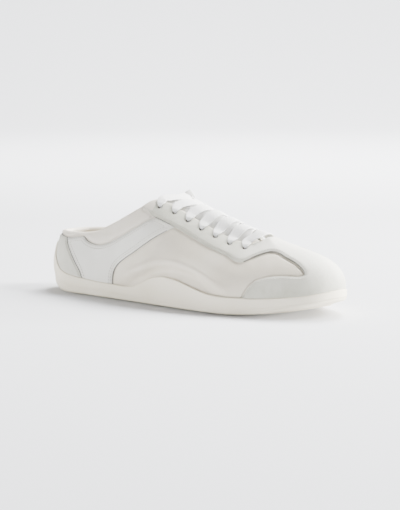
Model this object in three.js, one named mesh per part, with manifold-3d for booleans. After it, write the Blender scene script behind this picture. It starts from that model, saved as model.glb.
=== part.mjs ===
// A low sneaker mule for the right foot: a rubber cup sole, one hollow upper with overlays on it,
// a tongue, an insole and flat laces. Sizes are in millimetres. X runs from heel to toe, Z is up,
// and -Y is the outer side of the foot.
import * as THREE from "three";
import { mergeVertices } from "three/addons/utils/BufferGeometryUtils.js";
import Module from "manifold-3d";

const wasm = await Module();
wasm.setup();

// Driving sizes
const LENGTH = 270; // heel to toe, along the sole
const BALL_WIDTH = 88; // sole, at the ball of the foot
const HEEL_WIDTH = 66; // sole, at the heel
const HEEL_HEIGHT = 45.5; // collar at the back, above the floor
const INSTEP_HEIGHT = 76.5; // top corner of the eyestays, above the floor
const VAMP_HEIGHT = 54; // front end of the throat, above the floor
const COLLAR_WIDTH = 50; // opening for the foot, at its widest
const THROAT_WIDTH = 26; // between the two eyestays

const TOE_SPRING = 10.8; // how far the toe is off the floor
const HEEL_LIFT = 2.7; // how far the back edge of the heel is off the floor
const ARCH_RISE = 1.5; // how far the sole is hollowed under the arch
const HEEL_FLOOR = 9; // sole under the heel
const BALL_FLOOR = 6; // sole under the ball and the toes
const SIDE_HEIGHT = 13; // side of the sole at the ball
const WAVE_HEIGHT = 22.5; // side of the sole at the top of its wave
const TAB_HEIGHT = 39; // rubber tab up the back of the heel
const SIDE_WALL = 2.6; // rubber beside the upper
const SOLE_EDGE = 2.4; // rounding under the sole's edge
const HEEL_EDGE = 6.5; // and round the back of the heel
const SOLE_RIM = 0.6; // rounding on top of the sole's side

const WALL = 1.8; // upper with its lining
const COLLAR_PAD = 5.2; // upper at its padded collar
const MARGIN = 9; // upper turned in under the insole
const ROLL_OUT = 2.4; // how far the side swells out along its soft ridge
const SUEDE = 1.2; // toe, eyestay and heel overlays
const TEXTILE = 0.8; // overlays on the rear quarters
const INSOLE = 3.5;
const INSOLE_ROOM = 0.9; // between the insole and the upper round it
const INSOLE_EDGE = 0.8; // rounding of its edge
const TONGUE = 3;
const TONGUE_END = 8; // how far the tongue stands behind the corners of the eyestays
const CROWN = 5.4; // how far the instep rises between the eyestays

const EYELETS = 7; // on each side
const FIRST_EYELET = 120; // from the heel
const EYELET_PITCH = 13.4; // along the shoe
const EYELET_INSET = 7.5; // from the throat's edge
const EYELET_HOLE = 3.2;
const LACE_WIDTH = 6.4;
const LACE = 1.2; // thickness
const LACE_REST = 0.9; // between a lace and the suede under it

const GAP = 0.3; // between pieces that meet
const OVERLAY_LEAN = 0.4; // how far the foot of an overlay leans down towards the sole

// The sole's outline: share of the length, then half widths to the outer and the inner side of the
// foot, as shares of the width there
const OUTLINE = [
  [0, 0, 0],
  [0.01, 0.205, 0.205],
  [0.03, 0.327, 0.327],
  [0.06, 0.413, 0.413],
  [0.1, 0.475, 0.466],
  [0.15, 0.507, 0.495],
  [0.2, 0.515, 0.491],
  [0.3, 0.525, 0.416],
  [0.4, 0.505, 0.34],
  [0.5, 0.486, 0.332],
  [0.6, 0.491, 0.411],
  [0.65, 0.497, 0.466],
  [0.7, 0.497, 0.506],
  [0.75, 0.476, 0.522],
  [0.8, 0.43, 0.512],
  [0.85, 0.38, 0.479],
  [0.9, 0.312, 0.42],
  [0.94, 0.24, 0.35],
  [0.965, 0.172, 0.285],
  [0.985, 0.092, 0.205],
  [0.995, 0.022, 0.13],
  [1, -0.055, 0.055],
];

// The sole's side: share of the length, height as a share of SIDE_HEIGHT, share of the wave's
// rise, share of the heel tab's rise
const SIDE = [
  [0, 0.9, 0, 0.95],
  [0.01, 0.93, 0, 0.9],
  [0.03, 0.95, 0, 0.69],
  [0.05, 0.96, 0, 0.42],
  [0.08, 0.98, 0, 0.18],
  [0.13, 1.01, 0, 0.04],
  [0.19, 0.97, 0, 0],
  [0.25, 0.91, 0, 0],
  [0.36, 0.88, 0, 0],
  [0.4, 0.9, 0.1, 0],
  [0.43, 0.93, 0.36, 0],
  [0.475, 0.98, 0.82, 0],
  [0.525, 1, 1, 0],
  [0.57, 1, 0.88, 0],
  [0.62, 1, 0.54, 0],
  [0.66, 1, 0.26, 0],
  [0.71, 1, 0.05, 0],
  [0.76, 0.98, 0, 0],
  [0.86, 0.86, 0, 0],
  [0.91, 0.79, 0, 0],
  [0.96, 0.71, 0, 0],
  [1, 0.7, 0, 0],
];

// The upper's ribs, from the edge of the sole up to the opening. Share of the length where a rib
// starts; share of the length and of the half opening where it ends; how far its end has risen, from
// the heel's height to the instep's or from the vamp's to the instep's; its slope in degrees where it
// starts, with 90 upright, and where it ends; the pull of the slopes at both ends; share of the pad
const COLLAR_RIBS = [
  [0, 0.016, 0, 0, 113, 66, 0.42, 0.34, 0.6],
  [0.03, 0.036, 0.58, 0, 113, 68, 0.42, 0.34, 0.65],
  [0.09, 0.088, 0.88, 0, 105, 74, 0.38, 0.34, 0.8],
  [0.155, 0.158, 0.96, 0.01, 98, 78, 0.34, 0.34, 0.95],
  [0.2, 0.205, 0.98, 0.06, 98, 78, 0.34, 0.34, 1],
  [0.24, 0.242, 1, 0.18, 98, 77, 0.34, 0.34, 1],
  [0.3, 0.3, 1.02, 0.4, 98, 75, 0.34, 0.34, 1],
  [0.355, 0.352, 1, 0.63, 98, 70, 0.35, 0.34, 1],
  [0.4, 0.391, 0.94, 0.82, 97, 62, 0.36, 0.34, 0.9],
  [0.43, 0.408, 0.81, 0.95, 97, 50, 0.38, 0.34, 0.5],
];
const THROAT_RIBS = [
  [0.455, 0.421, 1.24, 1, 97, 38, 0.4, 0.34, 0.15],
  [0.485, 0.444, 1.07, 0.97, 97, 33, 0.42, 0.34, 0],
  [0.53, 0.489, 1, 0.78, 97, 31, 0.43, 0.35, 0],
  [0.58, 0.541, 1, 0.53, 97, 30, 0.43, 0.36, 0],
  [0.635, 0.596, 1, 0.27, 97, 29, 0.43, 0.37, 0],
  [0.69, 0.652, 0.98, 0.04, 98, 28, 0.44, 0.38, 0],
  [0.745, 0.707, 0.92, -0.15, 98, 28, 0.45, 0.38, 0],
  [0.8, 0.75, 0.74, -0.21, 99, 27, 0.46, 0.38, 0],
  [0.87, 0.77, 0.42, -0.09, 101, 26, 0.46, 0.38, 0],
  [0.94, 0.775, 0.18, 0, 103, 26, 0.46, 0.38, 0],
  [1, 0.776, 0, 0, 103, 26, 0.46, 0.38, 0],
];

// The soft ridge along each side: share of the length, height as a share of WAVE_HEIGHT, strength
const RIDGE = [
  [0.32, 0.85, 0],
  [0.358, 0.92, 0.35],
  [0.432, 1.22, 0.9],
  [0.498, 1.5, 1],
  [0.556, 1.56, 1],
  [0.627, 1.42, 0.9],
  [0.7, 1.08, 0.6],
  [0.76, 0.76, 0],
];
const RIDGE_BELOW = 5.5; // reach of the swelling under the ridge
const RIDGE_ABOVE = 9; // and over it

// Edges of the overlays, seen from the side: share of the length, share of the upper's height there
const COUNTER_SEAM = [
  [0.072, 1.2],
  [0.083, 1],
  [0.088, 0.9],
  [0.096, 0.76],
  [0.115, 0.58],
  [0.143, 0.35],
  [0.17, 0.13],
  [0.192, -0.3],
];
const COLLAR_SEAM = [
  [0.03, 0.9],
  [0.1, 0.91],
  [0.143, 0.96],
  [0.159, 0.97],
  [0.181, 0.86],
  [0.23, 0.74],
  [0.277, 0.71],
  [0.33, 0.74],
  [0.383, 0.76],
  [0.428, 0.77],
  [0.45, 0.81],
];
const EYESTAY_BACK = [
  [0.385, 1.1],
  [0.396, 0.96],
  [0.413, 0.88],
  [0.434, 0.825],
  [0.469, 0.805],
  [0.51, 0.795],
  [0.534, 0.79],
];
const QUARTER_SEAM = [
  [0.55, 0.93],
  [0.523, 0.81],
  [0.488, 0.65],
  [0.449, 0.52],
  [0.401, 0.44],
  [0.347, 0.37],
  [0.321, 0.28],
  [0.312, 0.18],
  [0.308, 0],
  [0.304, -0.3],
];
const VAMP_WINDOW = [
  [0.534, 0.79],
  [0.6, 0.78],
  [0.641, 0.77],
  [0.678, 0.775],
  [0.713, 0.75],
  [0.739, 0.7],
  [0.764, 0.67],
  [0.783, 0.71],
  [0.803, 0.82],
  [0.821, 0.89],
  [0.841, 0.91],
  [0.87, 0.88],
  [0.9, 0.84],
  [0.92, 0.78],
  [0.932, 0.71],
  [0.937, 0.63],
  [0.93, 0.57],
  [0.9, 0.53],
  [0.866, 0.49],
  [0.842, 0.43],
  [0.821, 0.35],
  [0.807, 0.24],
  [0.798, 0.11],
  [0.79, 0.01],
  [0.782, -0.4],
];

// How finely the shell is cut: steps round each side, and stops up a rib
const SIDE_STEPS = 26;
const END_CROWDING = 0.35;
const RIB_STOPS = [0, 0.11, 0.22, 0.33, 0.44, 0.56, 0.68, 0.8, 0.91, 1];
const LINING_STOPS = [1, 0.91, 0.8, 0.56, 0.33, 0.11, 0];

const OUTER = -1; // the side of the little toe
const INNER = 1;
const UP = new THREE.Vector3(0, 0, 1);

const mix = (a, b, share) => a + (b - a) * share;
const rise = (from, to, at) => THREE.MathUtils.smoothstep(at, from, to);
const along = (point, direction, distance) => point.clone().addScaledVector(direction, distance);

// The value in one column of a table, on a smooth curve through its rows that never overshoots them.
function read(rows, column, at) {
  let i = 0;
  while (i < rows.length - 2 && rows[i + 1][0] < at) i++;
  const [a, b] = [rows[i], rows[i + 1]];
  const span = b[0] - a[0];
  const share = THREE.MathUtils.clamp((at - a[0]) / span, 0, 1);
  const slope = (p, q) => (q[column] - p[column]) / (q[0] - p[0]);
  const blend = (p, q) => (p * q > 0 ? (2 * p * q) / (p + q) : 0);
  const here = slope(a, b);
  const start = i > 0 ? blend(slope(rows[i - 1], a), here) : here;
  const end = i < rows.length - 2 ? blend(here, slope(b, rows[i + 2])) : here;
  const [s2, s3] = [share ** 2, share ** 3];
  return (
    (2 * s3 - 3 * s2 + 1) * a[column] +
    (s3 - 2 * s2 + share) * span * start +
    (3 * s2 - 2 * s3) * b[column] +
    (s3 - s2) * span * end
  );
}

// The sole's underside and the floor inside it, above the ground at a distance x from the heel
function bottomAt(x) {
  const at = x / LENGTH;
  const toe = TOE_SPRING * Math.max(0, (at - 0.72) / 0.28) ** 2;
  const heel = HEEL_LIFT * Math.max(0, (0.08 - at) / 0.08);
  return toe + heel;
}

function archAt(x) {
  const at = x / LENGTH;
  return bottomAt(x) + ARCH_RISE * rise(0.28, 0.38, at) * (1 - rise(0.42, 0.52, at));
}

function floorAt(x) {
  const at = x / LENGTH;
  const toe = 1 - 0.17 * rise(0.8, 1, at);
  return Math.max(0, bottomAt(x)) + mix(HEEL_FLOOR, BALL_FLOOR * toe, rise(0.3, 0.62, at));
}

// The outline as one closed curve, from the heel round the outer side to the toe and back
const widthAt = (at) => mix(HEEL_WIDTH, BALL_WIDTH, rise(0.2, 0.6, at));
const outerPoints = OUTLINE.map(([at, outer]) => [at * LENGTH, -outer * widthAt(at)]);
const innerPoints = OUTLINE.slice(1, -1).map(([at, , inner]) => [at * LENGTH, inner * widthAt(at)]);
const outlinePoints = [...outerPoints, ...innerPoints.reverse()];
const outline = new THREE.CatmullRomCurve3(
  outlinePoints.map(([x, y]) => new THREE.Vector3(x, y, 0)),
  true,
);
outline.arcLengthDivisions = 40 * outlinePoints.length;
const toeShare = (() => {
  const lengths = outline.getLengths();
  return lengths[40 * (OUTLINE.length - 1)] / lengths.at(-1);
})();

// A place round the shoe is a side and a share u of the way along it, from heel to toe. Past either
// end it runs on along the other side.
function wrap(side, u) {
  if (u < 0) return [-side, -u];
  if (u > 1) return [-side, 2 - u];
  return [side, u];
}

function outlineAt(anySide, anyShare) {
  const [side, u] = wrap(anySide, anyShare);
  const turn = side === OUTER ? u * toeShare : 1 - u * (1 - toeShare);
  return outline.getPointAt(Math.min(turn, 1));
}

// The level direction from the outline into the shoe
function inwardAt(side, u) {
  const step = 0.004;
  const run = outlineAt(side, u + step).sub(outlineAt(side, u - step)).normalize();
  return new THREE.Vector3(run.y, -run.x, 0).multiplyScalar(side);
}

// The share along a side where the outline is a given distance from the heel
function shareAt(side, x) {
  let [low, high] = [0, 1];
  for (let i = 0; i < 30; i++) {
    const u = (low + high) / 2;
    if (outlineAt(side, u).x < x) low = u;
    else high = u;
  }
  return (low + high) / 2;
}

// The ribs of one side, each with its share u first, and the other side's nearest ribs past each end
function ribsOf(side) {
  const collar = COLLAR_RIBS.map(([at, x, half, up, ...shape]) => [
    shareAt(side, at * LENGTH),
    x * LENGTH,
    (half * COLLAR_WIDTH) / 2,
    mix(HEEL_HEIGHT, INSTEP_HEIGHT, up),
    ...shape,
  ]);
  const throat = THROAT_RIBS.map(([at, x, half, up, ...shape]) => [
    shareAt(side, at * LENGTH),
    x * LENGTH,
    (half * THROAT_WIDTH) / 2,
    mix(VAMP_HEIGHT, INSTEP_HEIGHT, up),
    ...shape,
  ]);
  const rows = [...collar, ...throat];
  rows[0][0] = 0;
  rows.at(-1)[0] = 1;
  const mirror = (row, u) => [u, row[1], -row[2], ...row.slice(3)];
  const before = rows.slice(1, 3).map((row) => mirror(row, -row[0])).reverse();
  const after = rows.slice(-3, -1).map((row) => mirror(row, 2 - row[0])).reverse();
  return [...before, ...rows, ...after];
}
const RIBS = { [OUTER]: ribsOf(OUTER), [INNER]: ribsOf(INNER) };

// The outside of the upper: the point a share w of the way up the rib at u
function skinAt(anySide, anyShare, w) {
  const [side, u] = wrap(anySide, anyShare);
  const value = (column) => read(RIBS[side], column, u);
  const foot = along(outlineAt(side, u), inwardAt(side, u), SIDE_WALL + GAP);
  foot.z = floorAt(foot.x) + GAP;
  const top = new THREE.Vector3(value(1), side * value(2), value(3));
  const reach = foot.distanceTo(top);
  const inward = new THREE.Vector3(top.x - foot.x, top.y - foot.y, 0).normalize();
  const slope = (degrees) => {
    const angle = THREE.MathUtils.degToRad(degrees);
    return inward.clone().multiplyScalar(Math.cos(angle)).addScaledVector(UP, Math.sin(angle));
  };
  const low = along(foot, slope(value(4)), value(6) * reach);
  const high = along(top, slope(value(5)), -value(7) * reach);
  const point = new THREE.CubicBezierCurve3(foot, low, high, top).getPoint(w);

  const at = point.x / LENGTH;
  const off = point.z - read(RIDGE, 1, at) * WAVE_HEIGHT;
  const bump = Math.exp(-((off / (off < 0 ? RIDGE_BELOW : RIDGE_ABOVE)) ** 2));
  const strength = at < RIDGE[0][0] || at > RIDGE.at(-1)[0] ? 0 : read(RIDGE, 2, at);
  return point.addScaledVector(inward, -ROLL_OUT * strength * bump);
}

// That point with the direction straight out of the surface, and the one up the rib
function frameAt(side, u, w) {
  const round = skinAt(side, u + 0.004, w).sub(skinAt(side, u - 0.004, w));
  const low = Math.max(0, w - 0.01);
  const high = Math.min(1, w + 0.01);
  const up = skinAt(side, u, high).sub(skinAt(side, u, low)).normalize();
  const out = round.cross(up).multiplyScalar(-side).normalize();
  return { point: skinAt(side, u, w), out, up };
}

// The surface moved straight out by a distance, or in where that is negative
function shellAt(side, u, w, distance) {
  const { point, out } = frameAt(side, u, w);
  return point.addScaledVector(out, distance);
}

// The share up a rib where it reaches a height
function shareAtHeight(side, u, height) {
  let [low, high] = [0, 1];
  for (let i = 0; i < 24; i++) {
    const w = (low + high) / 2;
    if (skinAt(side, u, w).z < height) low = w;
    else high = w;
  }
  return (low + high) / 2;
}

// The top edge of the sole's side
function sideTopAt(side, u) {
  const at = outlineAt(side, u).x / LENGTH;
  const value = (column) => read(SIDE, column, at);
  const wave = value(2) * (WAVE_HEIGHT - SIDE_HEIGHT);
  const tab = value(3) * (TAB_HEIGHT - SIDE_HEIGHT);
  return bottomAt(at * LENGTH) + value(1) * SIDE_HEIGHT + wave + tab;
}

// Places round the shoe, closer together at heel and toe, where it turns
const shares = Array.from({ length: SIDE_STEPS + 1 }, (_, i) => {
  const even = i / SIDE_STEPS;
  return even - (END_CROWDING * Math.sin(2 * Math.PI * even)) / (2 * Math.PI);
});
const places = [
  ...shares.slice(0, -1).map((u) => [OUTER, u]),
  ...shares.slice(1).reverse().map((u) => [INNER, u]),
];

// A closed mesh from corners and from faces of three of them
function geometryOf(points, faces) {
  const geometry = new THREE.BufferGeometry();
  geometry.setAttribute(
    "position",
    new THREE.Float32BufferAttribute(points.flatMap((p) => [p.x, p.y, p.z]), 3),
  );
  geometry.setIndex(faces.flat());
  const merged = mergeVertices(geometry, 1e-3);
  const index = [];
  for (let i = 0; i < merged.index.count; i += 3) {
    const [a, b, c] = [0, 1, 2].map((k) => merged.index.getX(i + k));
    if (a !== b && b !== c && c !== a) index.push(a, b, c);
  }
  merged.setIndex(index);
  return merged;
}

// A face of four corners as two triangles, parted from a to c, or from b to d
function quad(a, b, c, d, fromB) {
  return fromB ? [[a, b, d], [b, c, d]] : [[a, b, c], [a, c, d]];
}

// Rings of points, each joined to the next, and the last to the first where the strip is closed.
// Pieces that lie on each other are parted alike: a to c up to the turn of their rings, then b to d.
function strip(rings, closed, turn = Infinity) {
  const count = rings[0].length;
  const faces = [];
  const rounds = closed ? rings.length : rings.length - 1;
  for (let i = 0; i < rounds; i++) {
    const next = (i + 1) % rings.length;
    for (let k = 0; k < count; k++) {
      const after = (k + 1) % count;
      const [a, b] = [i * count + k, next * count + k];
      faces.push(...quad(a, b, next * count + after, i * count + after, k >= turn));
    }
  }
  return faces;
}

// A hollow ring right round the shoe, with the closed profile that each place has
function ringOf(profile) {
  const rings = places.map(([side, u]) => profile(side, u));
  return geometryOf(rings.flat(), strip(rings, true, RIB_STOPS.length - 1));
}

// A sweep with ends, each closed by a fan or, for a ring of four, by one face
function sweepOf(rings) {
  const count = rings[0].length;
  const last = (rings.length - 1) * count;
  const faces = strip(rings, false);
  for (let k = 1; k < count - 1; k++) {
    faces.push([0, k, k + 1]);
    faces.push([last, last + k + 1, last + k]);
  }
  return geometryOf(rings.flat(), faces);
}

// A full slab: the profile of each place runs from the edge of the underside, up round the side, to
// the edge of the upper face, past a turn, and both faces are spanned from side to side
function slabOf(profile, turn = Infinity) {
  const across = 4;
  const points = [];
  const faces = [];
  const outer = shares.map((u) => profile(OUTER, u));
  const inner = shares.map((u) => profile(INNER, u));
  const grid = (rows, flip) => {
    const start = points.length;
    const count = rows[0].length;
    rows.forEach((row) => points.push(...row));
    for (let i = 0; i < rows.length - 1; i++) {
      for (let k = 0; k < count - 1; k++) {
        const a = start + i * count + k;
        const face = [a, a + count, a + count + 1, a + 1];
        faces.push(...quad(...(flip ? face.reverse() : face), k >= turn));
      }
    }
  };
  const span = (pick, level) =>
    shares.map((_, i) => {
      const [a, b] = [pick(outer[i]), pick(inner[i])];
      return Array.from({ length: across + 1 }, (__, k) => {
        const point = a.clone().lerp(b, k / across);
        if (k > 0 && k < across) point.z = level(point.x);
        return point;
      });
    });
  grid(outer, false);
  grid(inner, true);
  return {
    points,
    faces,
    close(underside, topside) {
      grid(span((row) => row[0], underside), true);
      grid(span((row) => row.at(-1), topside), false);
      return geometryOf(points, faces);
    },
  };
}

// Joins and cuts
function solidOf(geometry) {
  return new wasm.Manifold(
    new wasm.Mesh({
      numProp: 3,
      vertProperties: geometry.attributes.position.array,
      triVerts: new Uint32Array(geometry.index.array),
    }),
  );
}

function geometryFrom(solid) {
  const { vertProperties, triVerts } = solid.getMesh();
  const geometry = new THREE.BufferGeometry();
  geometry.setAttribute("position", new THREE.BufferAttribute(vertProperties, 3));
  geometry.setIndex(new THREE.BufferAttribute(triVerts, 1));
  return geometry;
}

// The solid within an outline drawn from the side, right through the shoe
function sideCut(points) {
  const shape = new THREE.Shape(points.map(([x, z]) => new THREE.Vector2(x, z)));
  const cut = new THREE.ExtrudeGeometry(shape, { depth: 2 * BALL_WIDTH, bevelEnabled: false });
  cut.rotateX(Math.PI / 2).translate(0, BALL_WIDTH, 0);
  cut.deleteAttribute("normal");
  cut.deleteAttribute("uv");
  return solidOf(mergeVertices(cut, 1e-3));
}

// The upper seen from the side: its top line, and the line where it leaves the sole
const topLine = [
  ...shares.map((u) => skinAt(OUTER, u, 1)),
  ...[0.85, 0.7, 0.55, 0.4, 0.25, 0.1, 0].map((w) => skinAt(OUTER, 1, w)),
]
  .map((point) => [point.x, point.z])
  .filter(([x], i, all) => i === 0 || x > all[i - 1][0] + 0.5);

// A seam of a table as points seen from the side, smooth through its rows and moved by a distance
function seam(table, shift = 0, lift = 0) {
  const points = table.map(([at, share]) => {
    const x = at * LENGTH;
    const low = sideTopAt(OUTER, shareAt(OUTER, x));
    const high = read(topLine, 1, x);
    return new THREE.Vector3(x + shift, 0, mix(low, high, share) + lift);
  });
  const curve = new THREE.CatmullRomCurve3(points);
  return curve.getPoints(3 * (points.length - 1)).map((p) => [p.x, p.z]);
}

// The rubber cup sole
function soleGeometry() {
  const slab = (side, u) => {
    const edge = outlineAt(side, u);
    const inward = inwardAt(side, u);
    const bottom = bottomAt(edge.x);
    const level = (inset, up) => {
      const point = along(edge, inward, inset);
      point.z = bottom + up;
      return point;
    };
    const round = mix(HEEL_EDGE, SOLE_EDGE, rise(0.02, 0.12, edge.x / LENGTH));
    const under = level(round, 0);
    under.z = bottomAt(under.x);
    const top = shareAtHeight(side, u, sideTopAt(side, u));
    const wall = RIB_STOPS.map((w) => Math.min(w, top));
    const outside = wall.map((w) => shellAt(side, u, w, GAP + SIDE_WALL * (1 - 0.25 * (w / top))));
    const inside = wall.map((w) => shellAt(side, u, w, GAP)).reverse();
    const crest = shellAt(side, u, top, GAP + SIDE_WALL / 2).addScaledVector(UP, SOLE_RIM);
    const foot = inside.at(-1).clone();
    foot.z = floorAt(foot.x);
    return [
      under,
      level(0.3 * round, 0.3 * round),
      level(0, round),
      ...outside,
      crest,
      ...inside,
      foot,
    ];
  };
  return slabOf(slab, 3 + RIB_STOPS.length).close(archAt, floorAt);
}

// The upper: outside, rounded top edge, lining, and the margin turned in under the insole
function thicknessAt(side, u, w) {
  const pad = read(RIBS[side], 8, u);
  return WALL + (COLLAR_PAD - WALL) * pad * rise(0.66, 0.9, w);
}

function upperGeometry() {
  return ringOf((side, u) => {
    const skin = RIB_STOPS.map((w) => skinAt(side, u, w));
    const { point, out, up } = frameAt(side, u, 1);
    const half = thicknessAt(side, u, 1) / 2;
    const centre = along(point, out, -half);
    const edge = [45, 90, 135].map((degrees) => {
      const angle = THREE.MathUtils.degToRad(degrees);
      return along(along(centre, out, half * Math.cos(angle)), up, half * Math.sin(angle));
    });
    const lining = LINING_STOPS.map((w) => shellAt(side, u, w, -thicknessAt(side, u, w)));
    const inward = inwardAt(side, u);
    const hem = along(skin[0], inward, MARGIN);
    hem.z = floorAt(hem.x) + GAP;
    const hemTop = along(hem, UP, WALL);
    const turn = along(skin[0], inward, WALL);
    turn.z = floorAt(turn.x) + GAP + WALL;
    lining[lining.length - 1] = turn;
    return [...skin, ...edge, ...lining, hemTop, hem];
  });
}

// A sheet of some thickness on the upper, from just over the sole up to the opening
function overlayForm(thickness) {
  const clear = SOLE_RIM + OVERLAY_LEAN + GAP;
  return solidOf(
    ringOf((side, u) => {
      const start = shareAtHeight(side, u, sideTopAt(side, u) + clear);
      const stops = RIB_STOPS.map((w) => Math.max(w, start));
      const outside = stops.map((w) => shellAt(side, u, w, GAP + thickness));
      const inside = stops.map((w) => shellAt(side, u, w, GAP));
      return [...outside, ...inside.reverse()];
    }),
  );
}

// The eyelets: on each rib, the place a given distance from the throat's edge
function eyeletPlace(side, x) {
  const placeOf = (u) => {
    const edge = skinAt(side, u, 1);
    let [low, high] = [0.5, 1];
    for (let i = 0; i < 20; i++) {
      const w = (low + high) / 2;
      if (skinAt(side, u, w).distanceTo(edge) > EYELET_INSET) low = w;
      else high = w;
    }
    return (low + high) / 2;
  };
  let [low, high] = [0.3, 0.85];
  for (let i = 0; i < 20; i++) {
    const u = (low + high) / 2;
    if (skinAt(side, u, placeOf(u)).x < x) low = u;
    else high = u;
  }
  return { side, u: low, w: placeOf(low) };
}

const eyelets = {};
for (const side of [OUTER, INNER]) {
  eyelets[side] = Array.from({ length: EYELETS }, (_, i) =>
    eyeletPlace(side, FIRST_EYELET + i * EYELET_PITCH),
  );
}

function eyeletHoles() {
  const depth = 2 * (COLLAR_PAD + SUEDE);
  return [...eyelets[OUTER], ...eyelets[INNER]].map(({ side, u, w }) => {
    const { point, out } = frameAt(side, u, w);
    const hole = new THREE.CylinderGeometry(EYELET_HOLE / 2, EYELET_HOLE / 2, depth, 6);
    hole.deleteAttribute("normal");
    hole.deleteAttribute("uv");
    const turn = new THREE.Quaternion().setFromUnitVectors(new THREE.Vector3(0, 1, 0), out);
    hole.applyQuaternion(turn).translate(point.x, point.y, point.z);
    return solidOf(mergeVertices(hole, 1e-3));
  });
}

// The overlays, cut from the same sheets by seams drawn from the side
const over = 3 * INSTEP_HEIGHT;
const under = -INSTEP_HEIGHT;
const behind = -LENGTH;

// What the suede of toe and eyestays leaves bare, or that less a gap
function besideSuede(gap) {
  return sideCut([
    [behind, over],
    [EYESTAY_BACK[0][0] * LENGTH - gap, over],
    ...seam(EYESTAY_BACK, -gap, -gap).slice(0, -1),
    ...seam(VAMP_WINDOW, -gap, -gap),
    [VAMP_WINDOW.at(-1)[0] * LENGTH - gap, under],
    [behind, under],
  ]);
}

// The padded collar, which stands free above the overlays
function collarCut() {
  const line = seam(COLLAR_SEAM);
  return sideCut([...line, [line.at(-1)[0], over], [behind, over], [behind, line[0][1]]]);
}

function heelCounter(sheet) {
  const line = seam(COUNTER_SEAM);
  const kept = sideCut([
    [behind, under],
    [line.at(-1)[0], under],
    ...line.reverse(),
    [COUNTER_SEAM[0][0] * LENGTH, over],
    [behind, over],
  ]);
  return sheet.intersect(kept).subtract(collarCut());
}

function rearQuarters(sheet) {
  const kept = sideCut([
    ...seam(COUNTER_SEAM, GAP),
    [COUNTER_SEAM.at(-1)[0] * LENGTH + GAP, under],
    [QUARTER_SEAM.at(-1)[0] * LENGTH, under],
    ...seam(QUARTER_SEAM).reverse(),
    [QUARTER_SEAM[0][0] * LENGTH, over],
    [COUNTER_SEAM[0][0] * LENGTH + GAP, over],
  ]);
  return sheet.intersect(kept).intersect(besideSuede(2 * GAP)).subtract(collarCut());
}

// The insole fills the floor inside the upper
function insoleGeometry() {
  const lift = GAP + WALL + GAP;
  const inset = WALL + GAP + INSOLE_ROOM;
  const level = (x) => floorAt(x) + lift;
  const slab = (side, u) => {
    const foot = along(skinAt(side, u, 0), inwardAt(side, u), inset);
    const at = (more, up) => {
      const point = along(foot, inwardAt(side, u), more);
      point.z = level(point.x) + up;
      return point;
    };
    return [
      at(INSOLE_EDGE, 0),
      at(0, INSOLE_EDGE),
      at(0, INSOLE - INSOLE_EDGE),
      at(INSOLE_EDGE, INSOLE),
    ];
  };
  return slabOf(slab).close(level, (x) => level(x) + INSOLE);
}

// How far the instep stands over a line between the eyestays' edges: less at both ends of the throat
function crownAt(x) {
  const top = mix(0.35, 1, rise(FIRST_EYELET - TONGUE_END, FIRST_EYELET + EYELET_PITCH, x));
  const front = mix(1, 0.2, rise(0.745 * LENGTH, 0.775 * LENGTH, x));
  return CROWN * top * front;
}

// The tongue runs under both eyestays and rises between them, from the corners to past the throat
const TONGUE_STOPS = [0.455, 0.485, 0.53, 0.58, 0.635, 0.69, 0.745, 0.8, 0.87];
const TONGUE_REACH = 0.84; // how far down the ribs it lies under the eyestays
const TONGUE_SLACK = 1; // more room under the eyestays, which it isn't sewn to

function tongueGeometry() {
  const room = GAP + TONGUE_SLACK;
  const edge = [TONGUE_REACH, mix(TONGUE_REACH, 1, 0.5), 1];
  const bow = [0.55, 1, 0.55]; // rise of the middle, at a quarter, half and three quarters
  const rows = TONGUE_STOPS.map((at) => {
    const flank = (side) => {
      const u = shareAt(side, at * LENGTH);
      return edge.map((w) => shellAt(side, u, w, -room - thicknessAt(side, u, w)));
    };
    const [left, right] = [flank(OUTER), flank(INNER)];
    const middle = bow.map((share, i) => {
      const point = left.at(-1).clone().lerp(right.at(-1), (i + 1) / 4);
      return along(point, UP, crownAt(point.x) * share);
    });
    return [...left, ...middle, ...right.reverse()];
  });
  const middle = rows[0][4];
  const slope = middle.clone().sub(rows[1][4]).normalize();
  const tip = rows[0].map((point) => {
    const narrow = middle.clone().lerp(point, 0.7);
    narrow.x = point.x;
    return narrow.addScaledVector(slope, TONGUE_END);
  });
  const last = [-1, -0.72, -0.48, -0.24, 0, 0.24, 0.48, 0.72, 1].map((share) => {
    const u = 1 - 0.1 * Math.abs(share);
    return shellAt(share < 0 ? OUTER : INNER, u, TONGUE_REACH, -room - WALL);
  });
  const top = [tip, ...rows, last];
  const rings = top.map((row) => {
    const below = row.map((point) => along(point, UP, -TONGUE));
    return [...row, ...below.reverse()];
  });
  return sweepOf(rings);
}

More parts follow.
